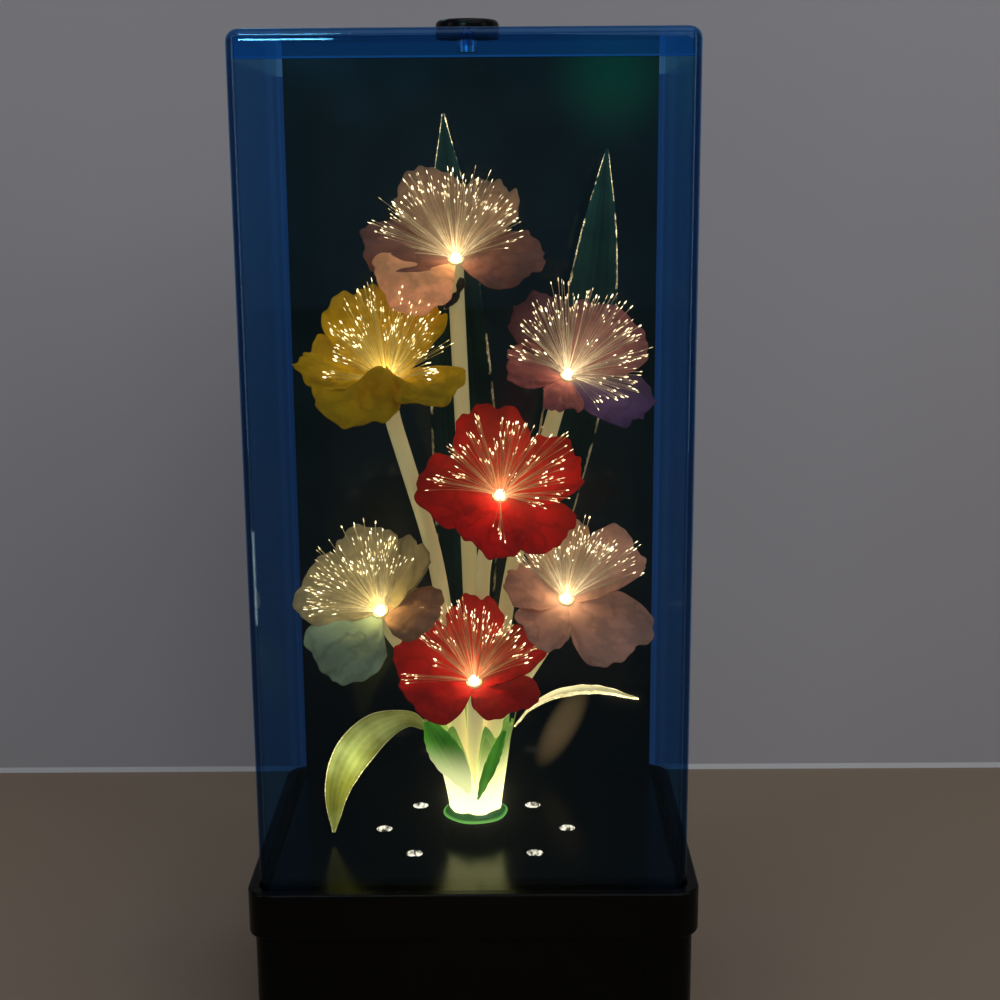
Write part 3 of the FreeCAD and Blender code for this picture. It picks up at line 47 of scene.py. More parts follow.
MM = 0.001
DECK = 70.0
SHEATH_FOOT = 77.0
SHEATH_TALL = 38.0
STEM_RADIUS = 2.9
BUNDLE_RADIUS = 2.1
STRAND = 5                                                 # light guides in a strand
GOLDEN_TURN = 0.6180339887                                 # share of a turn from strand to strand
LIGHT_HOLES = ((22.3, 22.1), (22.3, -22.1), (35.1, 0.0))   # in the deck, on either side
LIGHT_HOLE_RADIUS = 3.2
# Metres, for finishes that change across a piece: the wheel's axis along X, a plane just behind the
# panel's front face, the inside of the cover's front wall, planes before its rear wall and under its
# top, and narrow bands about the inside of its side walls and of its top.
WHEEL_AXIS, PANEL_FACE = 0.030, 0.0525
COVER_FRONT, COVER_REAR, COVER_HEAD = -0.0535, 0.0505, 0.3525
COVER_SIDE, COVER_ROOF = (0.0712, 0.0728), (0.3585, 0.3600)

BLACK = (0.0035, 0.0032, 0.0032)
CLOTHS = {
    "gold": (0.76, 0.45, 0.008), "ochre": (0.68, 0.40, 0.006), "peach": (0.90, 0.42, 0.18),
    "rosewood": (0.40, 0.16, 0.095), "fawn": (0.52, 0.28, 0.14), "mauve": (0.42, 0.12, 0.105),
    "plum": (0.19, 0.06, 0.07), "violet": (0.15, 0.07, 0.17), "scarlet": (0.80, 0.008, 0.005),
    "crimson": (0.64, 0.006, 0.004), "cream": (0.58, 0.47, 0.22), "teal": (0.36, 0.47, 0.29),
    "blush": (0.64, 0.34, 0.23),
}
# Painted glow that each cloth's petals give off all over, as emission, besides the guides' light near the
# root.
PAINTED_CLOTH_GLOW = {"peach": 0.30, "blush": 0.11, "teal": 0.13, "mauve": 0.09, "fawn": 0.075, "ochre": 0.09,
             "crimson": 0.09, "scarlet": 0.07}
FAINT_PAINTED_GLOW = 0.045    # painted glow of the other cloths
# Petals: azimuth round the flower's axis, opening from the axis, length, half width in degrees, cloth.
# Tufts: azimuth, lean, reach and number of guides that stand apart from the fan.
FLOWERS = {
    "peach": dict(root=(-5.1, 6.0, 216.8), turn=2, lift=48, fan=(92, 100), fibres=200, seed=3,
                  light=(1.0, 0.72, 0.34), gain=1.0, short=0.62, tufts=((172, 84, 27, 9),), petals=(
                      (-14, 78, 32, 44, "rosewood"), (50, 56, 33, 42, "fawn"), (116, 58, 35, 42, "fawn"),
                      (174, 78, 34, 40, "rosewood"), (222, 86, 33, 42, "peach"))),
    "yellow": dict(root=(-29.3, -14.0, 175.2), turn=-5, lift=60, hood=(268, 13.5), fan=(92, 98), fibres=205,
                   seed=5, light=(1.0, 0.72, 0.16), gain=1.0, short=0.42,
                   tufts=((-6, 76, 18, 16), (190, 82, 22, 12)),
                   petals=((-14, 80, 28, 58, "gold"), (54, 55, 33, 42, "gold"), (116, 55, 35, 44, "gold"),
                           (176, 74, 32, 36, "ochre"), (234, 84, 29, 60, "ochre"))),
    "purple": dict(root=(35.0, -2.0, 175.6), turn=18, lift=48, fan=(42, 120), fibres=200, seed=7,
                   light=(1.0, 0.70, 0.36), gain=1.0, short=0.72,
                   tufts=((168, 76, 22, 12), (160, 66, 15, 8)), petals=(
                       (34, 68, 34, 56, "mauve"), (112, 60, 33, 38, "plum"), (172, 80, 24, 30, "mauve"),
                       (244, 82, 20, 36, "mauve"), (318, 86, 32, 42, "violet"))),
    "red": dict(root=(10.3, -12.0, 133.7), turn=8, lift=46, fan=(62, 118), fibres=160, seed=11,
                light=(1.0, 0.52, 0.18), gain=0.80, short=0.46,
                tufts=((176, 74, 26, 12), (262, 80, 22, 8)), petals=(
                    (18, 68, 32, 46, "scarlet"), (98, 52, 34, 48, "crimson"), (182, 78, 31, 48, "crimson"),
                    (254, 84, 27, 46, "scarlet"), (314, 84, 29, 42, "scarlet"))),
    "cream": dict(root=(-34.1, -9.0, 90.0), turn=-14, lift=46, fan=(130, 78), fibres=190, seed=13,
                  light=(1.0, 0.74, 0.28), gain=0.95, short=0.46,
                  tufts=((186, 80, 27, 12), (100, 40, 14, 8)), petals=(
                      (-10, 68, 27, 44, "fawn"), (52, 58, 29, 42, "cream"), (108, 60, 33, 42, "cream"),
                      (168, 76, 32, 44, "cream"), (240, 86, 31, 48, "teal"))),
    "pink": dict(root=(34.2, -7.0, 93.6), turn=10, lift=50, fan=(78, 80), fibres=190, seed=17,
                 light=(1.0, 0.74, 0.38), gain=1.15, short=0.62, tufts=((146, 66, 24, 10),), petals=(
                     (26, 62, 33, 46, "blush"), (98, 54, 32, 46, "fawn"), (172, 72, 24, 42, "blush"),
                     (230, 82, 26, 38, "blush"), (314, 86, 34, 46, "blush"))),
    "rose": dict(root=(0.4, -20.0, 66.4), turn=-3, lift=62, fan=(90, 92), fibres=145, seed=19,
                 light=(1.0, 0.52, 0.18), gain=0.76, short=0.50, cleft=0.62,
                 tufts=((188, 80, 26, 12), (12, 70, 24, 8)), petals=(
                     (16, 66, 28, 46, "crimson"), (88, 46, 31, 48, "scarlet"), (154, 66, 32, 46, "scarlet"),
                     (201, 82, 27, 60, "crimson"), (324, 82, 25, 58, "crimson"))),
}


# ---- objects
def show(name, data):
    """Blender object of some data, in the scene."""
    made = bpy.data.objects.new(name, data)
    scene.collection.objects.link(made)
    return made


def new_light(name, kind, place, power, colour):
    """A light of a kind at a place."""
    made = show(name, bpy.data.lights.new(name, kind))
    made.location = place
    made.data.energy = power
    made.data.color = colour
    return made


# ---- shapes
def unit(a):
    """Each vector divided by its length."""
    return a / np.linalg.norm(a, axis=-1, keepdims=True)


def smooth_line(points, t):
    """Points at shares t of a line through the given points: cubic runs by chord length,
    with the slope at each point the mean of the runs beside it, the shorter one counting more."""
    p = np.asarray(points, float)
    step = np.diff(p, axis=0)
    gap = np.linalg.norm(step, axis=1)
    at = np.concatenate([[0], np.cumsum(gap)])
    run = step / gap[:, None]
    before, after = gap[:-1, None], gap[1:, None]
    slope = np.vstack([run[:1], (run[1:] * before + run[:-1] * after) / (before + after), run[-1:]])
    x = np.asarray(t) * at[-1]
    k = np.clip(np.searchsorted(at, x, side="right") - 1, 0, len(gap) - 1)
    h = gap[k][:, None]
    s = ((x - at[k]) / gap[k])[:, None]
    return ((2 * s**3 - 3 * s**2 + 1) * p[k] + (s**3 - 2 * s**2 + s) * h * slope[k]
            + (3 * s**2 - 2 * s**3) * p[k + 1] + (s**3 - s**2) * h * slope[k + 1])


def grid_faces(rows, cols, closed):
    """Four-cornered faces of a grid of points, row by row; the columns meet where closed."""
    r, c = np.meshgrid(np.arange(rows - 1), np.arange(cols if closed else cols - 1), indexing="ij")
    beside = (c + 1) % cols
    return np.stack([r * cols + c, r * cols + beside, (r + 1) * cols + beside, (r + 1) * cols + c],
                    -1).reshape(-1, 4)


def make_piece(name, sheets, finish, body="base", stands_for=(), wall=0.0):
    """One mesh out of grids of points. A sheet is its points (rows, columns, 3), or a stack of such
    grids, whether its columns close and its ends are capped, and named values per point."""
    points, faces, places, values, start = [], [], [], {}, 0
    for sheet in sheets:
        grid = np.asarray(sheet["points"], float)
        grid = grid[None] if grid.ndim == 3 else grid
        many, rows, cols = grid.shape[:3]
        count = rows * cols
        each = (np.arange(many) * count + start)[:, None, None]
        faces += (grid_faces(rows, cols, sheet.get("closed", False))[None] + each).reshape(-1, 4).tolist()
        if sheet.get("capped"):
            ends = np.stack([np.arange(cols)[::-1], np.arange(count - cols, count)])
            faces += (ends[None] + each).reshape(-1, cols).tolist()
        u = np.broadcast_to(np.linspace(0, 1, cols), (many, rows, cols))
        v = np.broadcast_to(np.linspace(0, 1, rows)[:, None], (many, rows, cols))
        places.append(np.stack([u, v], -1).reshape(-1, 2))
        points.append(grid.reshape(-1, 3))
        for key, value in sheet.get("values", {}).items():
            value = np.asarray(value, float)
            values.setdefault(key, []).append(value.reshape(many * count, -1))
        start += many * count
    mesh = bpy.data.meshes.new(name)
    mesh.from_pydata((np.concatenate(points) * MM).tolist(), [], faces)
    corner = np.empty(len(mesh.loops), np.int32)
    mesh.loops.foreach_get("vertex_index", corner)
    mesh.uv_layers.new(name="UVMap").data.foreach_set("uv", np.concatenate(places)[corner].ravel())
    for key, found in values.items():
        found = np.concatenate(found)
        if found.shape[1] == 3:
            found = np.hstack([found, np.ones((len(found), 1))])
            mesh.attributes.new(key, "FLOAT_COLOR", "POINT").data.foreach_set("color", found.ravel())
        else:
            mesh.attributes.new(key, "FLOAT", "POINT").data.foreach_set("value", found.ravel())
    mesh.polygons.foreach_set("use_smooth", np.full(len(mesh.polygons), True))
    mesh.update()
    made = show(name, mesh)
    made.data.materials.append(finish)
    if wall:
        shell = made.modifiers.new("wall", "SOLIDIFY")
        shell.thickness = wall * MM
        shell.offset = 0.0
    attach(made, body)
    if stands_for:
        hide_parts(*stands_for)
    return made


def axes_of(flower):
    """Face, right and upward directions of a flower from its turn and its lift."""
    turn, lift = math.radians(flower["turn"]), math.radians(flower["lift"])
    face = np.array([math.cos(lift) * math.sin(turn), -math.cos(lift) * math.cos(turn), math.sin(lift)])
    right = np.array([math.cos(turn), math.sin(turn), 0.0])
    return face, right, np.cross(face, right)


def root_of(flower):
    """End of the stem, where the petals and the fibres start."""
    return np.array(flower["root"]) + (0, 0, DECK)


def round_axis(flower, angle):
    """Unit vectors across a flower's axis, at an angle from its right."""
    right, above = axes_of(flower)[1:]
    return right * np.cos(angle)[..., None] + above * np.sin(angle)[..., None]


def leaning(flower, azimuth, lean, reach):
    """Vectors of a reach, leaning from the flower's axis towards an azimuth."""
    outward = round_axis(flower, np.radians(azimuth))
    lean = np.radians(lean)[..., None]
    return (axes_of(flower)[0] * np.cos(lean) + outward * np.sin(lean)) * reach[..., None]


def degrees_off(angle, azimuth):
    """Degrees from an azimuth to an angle, between -180 and 180."""
    return (np.degrees(angle) - azimuth + 180) % 360 - 180


def petal(flower, index, across=57, along=34):
    """Petal of a flower. u runs from side to side, -1 to 1, and v from the root to the rim.
    Azimuth: the petal's own plus u times its half width.
    Reach: its length, less 0.42 of it, or the flower's cleft, by |u| to the power 3.4, with three
    ripples round the rim.
    Out from the stem by the sine of the opening and up the axis by its cosine to the power 1.35 of v;
    one side lies over the next petal, frills grow by the square of v, creases run over the middle, and
    the rim rolls in its last two fifths. A hood lifts the foot of the petal near the hood's azimuth."""
    face = axes_of(flower)[0]
    azimuth, opening, length, half, cloth = flower["petals"][index]
    rng = np.random.default_rng(flower["seed"] * 10 + index)
    wave = rng.uniform(0, 2 * math.pi, 9)
    curl, twist = rng.uniform(-1.0, 0.5), rng.uniform(-1, 1)
    u = np.linspace(-1, 1, across)[None, :]
    v = np.linspace(0, 1, along)[:, None]
    angle = np.radians(azimuth + half * u * (1.06 - 0.06 * v))
    ripple = (0.030 * np.sin(6 * u + wave[0]) + 0.018 * np.sin(14 * u + wave[1])
              + 0.009 * np.sin(29 * u + wave[2]))
    reach = length * (1 - flower.get("cleft", 0.42) * np.abs(u) ** 3.4 + ripple)
    open_at = np.radians(opening + 6.0 * u + 5.0 * twist * u * v)
    out = STEM_RADIUS + 0.1 + (reach - 3) * np.sin(open_at) * v
    frill = (1.4 * np.sin(5.5 * u + wave[3]) + 0.8 * np.sin(12 * u + 2 * v + wave[4])
             + 0.35 * np.sin(25 * u - 3 * v + wave[5]))
    crease = 0.5 * np.sin(8 * u + 5 * v + wave[6]) * np.sin(7 * v + wave[7])
    roll = curl * 0.12 * length * np.maximum(0, v - 0.6) ** 2 / 0.16
    belly = 0.05 * length * np.sin(math.pi * v) * (1 - u * u)
    rise = (reach * np.cos(open_at) * v**1.35 - 1.0 + frill * v**2 + crease * np.sin(math.pi * v) + roll
            + belly + 0.45 * u * (0.4 + v))
    if "hood" in flower:
        at, high = flower["hood"]
        rise = rise + high * np.exp(-(degrees_off(angle, at) / 48.0) ** 2) * np.exp(-((v - 0.27) / 0.17) ** 2)
    points = root_of(flower) + round_axis(flower, angle) * out[..., None] + face * rise[..., None]
    fan_mid, fan_half = flower["fan"]
    off = np.abs(degrees_off(angle, fan_mid)) / fan_half
    inside = np.clip(1.3 - off, 0, 1)
    away = reach * v
    glow = (0.6 * np.exp(-away / 4.0) + 0.45 * inside * np.exp(-(away / 30.0) ** 2)) * flower["gain"]
    # painted glow all over the petal, by its cloth
    glow = glow + PAINTED_CLOTH_GLOW.get(cloth, FAINT_PAINTED_GLOW)
    shade = 1 + 0.10 * np.sin(3.1 * u + 4 * v + wave[8])
    colour = np.array(CLOTHS[cloth]) * shade[..., None]
    return dict(points=points, values=dict(tint=colour, glow=glow))


def fibre_fan(flower, sides=5):
    """Light guides of a flower, in strands. Strand k points its own way: azimuth by golden turns
    within the fan, lean by k to the power 0.42; its guides part from each other a little and end at
    their own lengths. A guide leaves the bundle along the axis and swings out to its direction; its
    last millimetre or two swell to a drop."""
    rng = np.random.default_rng(flower["seed"])
    face, right, above = axes_of(flower)
    strand = np.arange(flower["fibres"]) // STRAND
    number = (strand + 0.5) / (strand[-1] + 1)
    mid, half = flower["fan"]
    side = 2 * ((strand * GOLDEN_TURN) % 1) - 1
    azimuth = mid + half * np.sign(side) * np.abs(side) ** 0.9
    petals = sorted((p[0] % 360, p[1], p[2]) for p in flower["petals"])
    turns, openings, lengths = (np.array(x) for x in zip(*petals))
    opening = np.interp(azimuth % 360, turns, openings, period=360)
    length = np.interp(azimuth % 360, turns, lengths, period=360)
    lean = (opening - 5) * number**0.42
    reach = length * rng.uniform(flower["short"], 0.97, strand[-1] + 1)[strand] ** 0.8
    for way, tilt, far, many in flower["tufts"]:
        strand = np.append(strand, np.full(many, strand[-1] + 1))
        azimuth = np.append(azimuth, np.full(many, way))
        lean = np.append(lean, np.full(many, tilt))
        reach = np.append(reach, np.full(many, far))
    count = len(strand)
    azimuth = azimuth + rng.normal(0, 3.4, count)
    lean = lean + rng.normal(0, 2.6, count)
    reach = reach * rng.uniform(0.80, 1.04, count)
    way = leaning(flower, azimuth, lean, np.ones(count))
    bow = unit(np.cross(way, rng.normal(0, 1, (count, 3)))) * rng.normal(0, 1.2, (count, 1))
    body = np.array([0.0, 0.12, 0.28, 0.46, 0.64, 0.82]) * (reach - 1.5)[:, None]
    stretch = rng.uniform(0.7, 1.5, (count, 1))
    tip = (reach - 1.5)[:, None] + np.array([0.0, 0.30, 0.65, 1.0, 1.25]) * stretch
    at = np.concatenate([body, tip], 1)
    share = at / reach[:, None]
    start = leaning(flower, azimuth, np.full(count, 90.0), rng.uniform(0.2, 1.7, count))
    line = (root_of(flower) + start[:, None] + way[:, None] * at[..., None]
            + face * (2.0 * (1 - np.exp(-4 * share)))[..., None]
            + bow[:, None] * (share**2)[..., None])
    along = unit(np.gradient(line, axis=1))
    a = unit(np.cross(along, right * 0.3 + above))
    b = np.cross(along, a)
    turn = np.arange(sides) * 2 * math.pi / sides
    drop = 0.11 + 0.24 * rng.uniform(0, 1, (count, 1)) ** 2.0
    radius = np.concatenate([np.broadcast_to([0.14, 0.12, 0.10, 0.08, 0.07, 0.06], (count, 6)),
                             drop * np.array([0.4, 0.85, 1.0, 0.75, 0.2])], 1)
    ring = a[:, :, None] * np.cos(turn)[:, None] + b[:, :, None] * np.sin(turn)[:, None]
    points = line[:, :, None] + ring * radius[..., None, None]
    lively = rng.uniform(0.4, 1.6, strand[-1] + 1)[strand][:, None] * rng.uniform(0.7, 1.2, (count, 1))
    shine = (0.36 * np.exp(-share * 3.4) + 0.018) * lively * flower["gain"]
    # The six rings along the guide keep that; of the drop's five the first is dim, the rest bright.
    shine[:, 7:] = rng.uniform(0.40, 0.95, (count, 1)) ** 1.5
    shine[:, 6] = 0.12
    shine = np.broadcast_to(shine[..., None], points.shape[:3])
    return dict(points=points, closed=True, capped=True, values=dict(shine=shine))


def bundle_end(flower):
    """Domed polished end of the bundle: a half ball whose radius shrinks by the cosine of its rise."""
    rise = np.linspace(-0.35, math.pi / 2 - 0.05, 9)[:, None, None]
    turn = np.arange(18) * 2 * math.pi / 18
    ball = round_axis(flower, turn) * np.cos(rise) + axes_of(flower)[0] * np.sin(rise)
    points = root_of(flower) + BUNDLE_RADIUS * ball
    return dict(points=points, closed=True, capped=True, values=dict(shine=np.ones(points.shape[:2])))


def blade(spine, width, shares, foot_face, tip_face, camber, across=21, along=72, wave=0.25, phase=0.0,
          painted_light_along=(1, 1), fade=0.0):
    """Leaf blade. v runs up a smooth spine and u from edge to edge, -1 to 1: to the side by u times
    half the width there, proud by the camber where u is 0, down again in a groove along the middle,
    with edges that wave by the sine of v. It carries painted light along it, lighter or darker at the listed
    values, in long stripes of random variation."""
    v = np.linspace(0, 1, along)
    u = np.linspace(-1, 1, across)[None, :, None]
    line = smooth_line(spine, v)
    way = unit(np.gradient(line, axis=0))
    turned = np.minimum(1, 2 * v)[:, None]
    side = unit(np.cross(way, np.array(foot_face) * (1 - turned) + np.array(tip_face) * turned))
    out = np.cross(side, way)
    knots = np.linspace(0, 1, len(shares))
    flat = smooth_line(np.stack([knots * 4, shares], 1), v)
    half = width * np.interp(v, flat[:, 0] / 4, flat[:, 1])[:, None, None] / 2
    rise = camber * 2 * half * (1 - u**2) - 0.35 * np.exp(-(u / 0.07) ** 2) * np.minimum(1, half / 3)
    rise = rise + wave * u**4 * np.sin(38 * v + phase + 2 * np.sin(9 * v))[:, None, None]
    points = line[:, None] + side[:, None] * half * u + out[:, None] * rise
    variation_and_painted_light = np.interp(v, np.linspace(0, 1, len(painted_light_along)), painted_light_along)[:, None] * (1 + 0.22 * np.sin(
        3 * u[..., 0] + 5 * v[:, None]) + 0.10 * np.sin(17 * u[..., 0] + 3 * v[:, None]))
    return dict(points=points, values=dict(fade=np.full(points.shape[:2], fade), variation_and_painted_light=variation_and_painted_light))


def sheath_radius(z):
    """Outer radius of the sheath: 9.8 at its foot, 6.7 more at its rim, widening faster towards it."""
    return 9.8 + 6.7 * np.clip((z - SHEATH_FOOT) / SHEATH_TALL, 0, 1) ** 1.3


def sheath_cup(inset, lobes, first, deep, tall, vee_at=272, vee_half=21.0, vee_deep=27.0, rows=34, cols=120):
    """Wrapped leaf feet as one cup. The angle runs round it and s up it; its rim dips between the
    lobes by the cosine to the power 9 and at the front by a V, and its lip rolls out by the square of
    what s has over 0.8."""
    angle = np.arange(cols) * 2 * math.pi / cols
    s = np.linspace(0, 1, rows)[:, None]
    dip = deep * np.abs(np.cos(lobes * (angle - math.radians(first)) / 2)) ** 9
    vee = vee_deep * np.clip(1 - np.abs(degrees_off(angle, vee_at)) / vee_half, 0, 1)
    z = SHEATH_FOOT + s * (SHEATH_TALL + tall - np.maximum(dip, vee))
    t = (z - SHEATH_FOOT) / SHEATH_TALL
    fold = 0.35 * np.sin(15 * angle + 5 * t) * t
    radius = sheath_radius(z) - inset + fold + 0.9 * np.clip(s - 0.8, 0, 1) ** 2 * 25 * 0.6
    points = np.stack([radius * np.cos(angle) - 2.0 * t**2, radius * np.sin(angle), z], -1)
    return dict(points=points, closed=True)


def foot_ring(rows=12, cols=64):
    """Flared ring at the sheath's foot: a quarter curve from 12 mm out down at the socket to the cup."""
    turn = np.arange(cols) * 2 * math.pi / cols
    down = np.linspace(0, 1, rows)[:, None]
    radius = 9.6 + 2.6 * down**2.2 + 0.15 * np.sin(6 * turn)
    z = SHEATH_FOOT + 0.2 + 3.6 * (1 - down) ** 1.2
    points = np.stack([radius * np.cos(turn), radius * np.sin(turn), z + 0 * turn], -1)
    return dict(points=points[::-1], closed=True)


def beside_sheath(angle, z, away):
    """Point off the outside of the sheath at an angle round it and a height."""
    reach = float(sheath_radius(np.array(z))) + away
    a = math.radians(angle)
    shift = -2.0 * ((z - SHEATH_FOOT) / SHEATH_TALL) ** 2
    return (shift + reach * math.cos(a), reach * math.sin(a), z)


# ---- shader parts
def put(tree, kind, given=None, **settings):
    """A shader node with its settings; a given value that is a socket is linked."""
    node = tree.nodes.new("ShaderNode" + kind)
    for key, value in settings.items():
        setattr(node, key, value)
    for key, value in (given or {}).items():
        if isinstance(value, bpy.types.NodeSocket):
            tree.links.new(value, node.inputs[key])
        else:
            node.inputs[key].default_value = value
    return node


def tree_of(*values):
    """Node tree of the first socket among some values."""
    return next(value.id_data for value in values if isinstance(value, bpy.types.NodeSocket))


def arithmetic(operation):
    """Function for one kind of arithmetic on one or two values, at least one of them a socket."""
    def work(a, b=0.5, clamp=False):
        return put(tree_of(a, b), "Math", {0: a, 1: b}, operation=operation, use_clamp=clamp).outputs[0]
    return work


plus, minus, times, divided, raised = map(arithmetic, ("ADD", "SUBTRACT", "MULTIPLY", "DIVIDE", "POWER"))
is_over, is_under, larger = map(arithmetic, ("GREATER_THAN", "LESS_THAN", "MAXIMUM"))
unsigned, sine = map(arithmetic, ("ABSOLUTE", "SINE"))


def squares(a, b):
    """Sum of the squares of two values."""
    return plus(raised(a, 2.0), raised(b, 2.0))


def mixed(share, a, b, how="MIX"):
    """Two colours mixed by a share."""
    return put(tree_of(share, a, b), "Mix", {0: share, 6: a, 7: b}, data_type="RGBA",
               blend_type=how).outputs[2]


def toned(colour, value):
    """A colour times a value."""
    grey = put(value.id_data, "CombineColor", {0: value, 1: value, 2: value}).outputs[0]
    return mixed(1.0, colour, grey, "MULTIPLY")


def ranged(value, low, high, to_low=0.0, to_high=1.0, how="LINEAR"):
    """A value brought from one range to another."""
    return put(value.id_data, "MapRange", {0: value, 1: low, 2: high, 3: to_low, 4: to_high},
               interpolation_type=how).outputs[0]


def place_in(tree, kind="Object"):
    """X, Y and Z of a point in the object's own coordinates, or in its UV map."""
    return put(tree, "SeparateXYZ", {0: put(tree, "TexCoord").outputs[kind]}).outputs


def painted(tree, name, output="Fac"):
    """What a piece carries under a name at each of its points."""
    return put(tree, "Attribute", attribute_name=name).outputs[output]


def object_noise(tree, scale, detail, stretch=None):
    """Noise in the object's own coordinates, longer along an axis where stretched."""
    place = put(tree, "TexCoord").outputs["Object"]
    if stretch:
        place = put(tree, "Mapping", {"Vector": place, "Scale": stretch}).outputs[0]
    return put(tree, "TexNoise", {"Vector": place, "Scale": scale, "Detail": detail}).outputs[0]


# ---- effects that several finishes share
def effect(name, outputs, **inputs):
    """Empty node group with named outputs, and number inputs with their usual values."""
    tree = bpy.data.node_groups.new(name, "ShaderNodeTree")
    for label, value in inputs.items():
        made = tree.interface.new_socket(label, in_out="INPUT", socket_type="NodeSocketFloat")
        made.default_value = value
    for label in outputs:
        tree.interface.new_socket(label, in_out="OUTPUT", socket_type="NodeSocketFloat")
    tree.nodes.new("NodeGroupOutput")
    return tree, tree.nodes.new("NodeGroupInput").outputs


def give_out(tree, *values):
    """An effect with its outputs, in their order, linked to what it works out."""
    for value, output in zip(values, tree.nodes["Group Output"].inputs):
        tree.links.new(value, output)
    return tree


def make_handled_gloss():
    """Roughness from Low, clean, to High, smudged, and the fine skin of a moulded face."""
    tree, given = effect("handled_gloss", ("Roughness", "Height"), Scale=45.0, Low=0.08, High=0.2)
    smudge = object_noise(tree, given["Scale"], 5.0)
    return give_out(tree, ranged(smudge, 0.4, 0.72, given["Low"], given["High"]),
                    object_noise(tree, 1400.0, 2.0))


def make_drawn_metal():
    """Fine lines along X on rolled or drawn metal, with dull spots."""
    tree, given = effect("drawn_metal", ("Roughness", "Height", "Shade"), Scale=900.0, Low=0.25, High=0.45)
    lines = object_noise(tree, given["Scale"], 3.0, (0.04, 1.0, 1.0))
    spots = object_noise(tree, 160.0, 4.0)
    both = times(plus(lines, spots), 0.5)
    return give_out(tree, ranged(both, 0.3, 0.7, given["Low"], given["High"]), lines,
                    ranged(spots, 0.3, 0.7, 0.75, 1.0))


def make_mottle():
    """Cloudy shade between Dark and 1, and a grainy height, for cloth, plastic, film and ceramic."""
    tree, given = effect("mottle", ("Shade", "Height"), Scale=120.0, Dark=0.8)
    cloud = object_noise(tree, given["Scale"], 5.0)
    return give_out(tree, ranged(cloud, 0.3, 0.7, given["Dark"], 1.0), object_noise(tree, 1100.0, 3.0))


def make_long_ribs():
    """Ribs along a leaf or petal from its UV: Count lines across it that wander a little,
    stronger towards the rim by Fan."""
    tree, given = effect("long_ribs", ("Height", "Shade"), Count=18.0, Wander=0.02, Fan=0.0)
    u, v, _ = place_in(tree, "UV")
    place = put(tree, "TexCoord").outputs["UV"]
    noise = put(tree, "TexNoise", {"Vector": place, "Scale": 7.0, "Detail": 3.0}).outputs[0]
    across = plus(u, times(minus(noise, 0.5), given["Wander"]))
    turns = times(across, times(given["Count"], 2 * math.pi))
    line = raised(ranged(sine(turns), -1.0, 1.0), 2.0)
    fade = put(tree, "Mix", {0: given["Fan"], 2: 1.0, 3: v}, data_type="FLOAT").outputs[0]
    height = times(line, fade)
    return give_out(tree, height, ranged(height, 0.0, 1.0, 1.0, 0.80))


def make_crinkle():
    """Creases of pressed cloth: thin lines where a slow noise crosses its middle. Height, and painted
    shade in them: a Shade that drops to Dark there."""
    tree, given = effect("crinkle", ("Height", "Shade"), Scale=120.0, Dark=0.7)
    off = unsigned(minus(object_noise(tree, given["Scale"], 3.5), 0.5))
    height = ranged(off, 0.0, 0.10, how="SMOOTHSTEP")
    return give_out(tree, height, ranged(height, 0.0, 1.0, given["Dark"], 1.0))


def make_gilt_edge():
    """Edge mask of a leaf from its UV: 1 within Width of either edge, broken up by noise,
    and the painted glints in it."""
    tree, given = effect("gilt_edge", ("Mask", "Glint"), Width=0.05, Scale=420.0, Gaps=0.45)
    edge = minus(0.5, unsigned(minus(place_in(tree, "UV")[0], 0.5)))
    width = times(given["Width"], times(object_noise(tree, given["Scale"], 2.0), 2.0))
    near = minus(1.0, divided(edge, width), clamp=True)
    broken = ranged(object_noise(tree, 130.0, 3.0), given["Gaps"], plus(given["Gaps"], 0.12))
    mask = times(ranged(near, 0.0, 0.35, how="SMOOTHSTEP"), broken)
    painted_edge_glints = ranged(object_noise(tree, 1500.0, 1.0), 0.52, 0.66)
    return give_out(tree, mask, times(mask, painted_edge_glints))


def make_lit_from_below():
    """1 at the height Low, in metres, fading to 0 at High."""
    tree, given = effect("lit_from_below", ("Mask",), Low=0.077, High=0.11)
    height = place_in(tree)[2]
    return give_out(tree, ranged(height, given["Low"], given["High"], 1.0, 0.0, "SMOOTHSTEP"))


EFFECTS = {"gloss": make_handled_gloss(), "metal": make_drawn_metal(), "mottle": make_mottle(),
           "ribs": make_long_ribs(), "crinkle": make_crinkle(), "gilt": make_gilt_edge(),
           "lit": make_lit_from_below()}


def use(tree, name, **given):
    """An effect placed in a material."""
    return put(tree, "Group", given, node_tree=EFFECTS[name]).outputs


# ---- finishes
def new_finish(name, shader):
    """Empty material with a Principled shader on its output."""
    finish = bpy.data.materials.new(name)
    finish.use_nodes = True
    tree = finish.node_tree
    tree.nodes.clear()
    main = put(tree, "BsdfPrincipled", shader)
    put(tree, "OutputMaterial", {"Surface": main.outputs[0]})
    return finish, tree, main


def feed(shader, name, value):
    """A value linked to a shader's named input."""
    shader.id_data.links.new(value, shader.inputs[name])


def bump(shader, height, strength, distance=0.0004):
    """Bump of a height on a shader."""
    node = put(shader.id_data, "Bump", {"Height": height, "Strength": strength, "Distance": distance})
    feed(shader, "Normal", node.outputs[0])


def shaded(shader, colour, shade):
    """Base colour times a shade."""
    feed(shader, "Base Color", toned((*colour, 1), shade))


def show_both(share, first, second):
    """Surface of a material out of two shaders, the first giving way to the second by a share."""
    tree = first.id_data
    both = put(tree, "MixShader", {0: share, 1: first.outputs[0], 2: second.outputs[0]})
    tree.links.new(both.outputs[0], tree.nodes["Material Output"].inputs[0])


def gloss_finish(name, colour, low, high, gleam, scale=45.0, peel=0.03):
    """Moulded gloss plastic with faint smudges."""
    finish, tree, shader = new_finish(name, {"Specular IOR Level": gleam})
    skin = use(tree, "gloss", Low=low, High=high, Scale=scale)
    feed(shader, "Roughness", skin["Roughness"])
    bump(shader, skin["Height"], peel, 0.0002)
    shaded(shader, colour, use(tree, "mottle", Scale=70.0, Dark=0.7)["Shade"])
    return finish


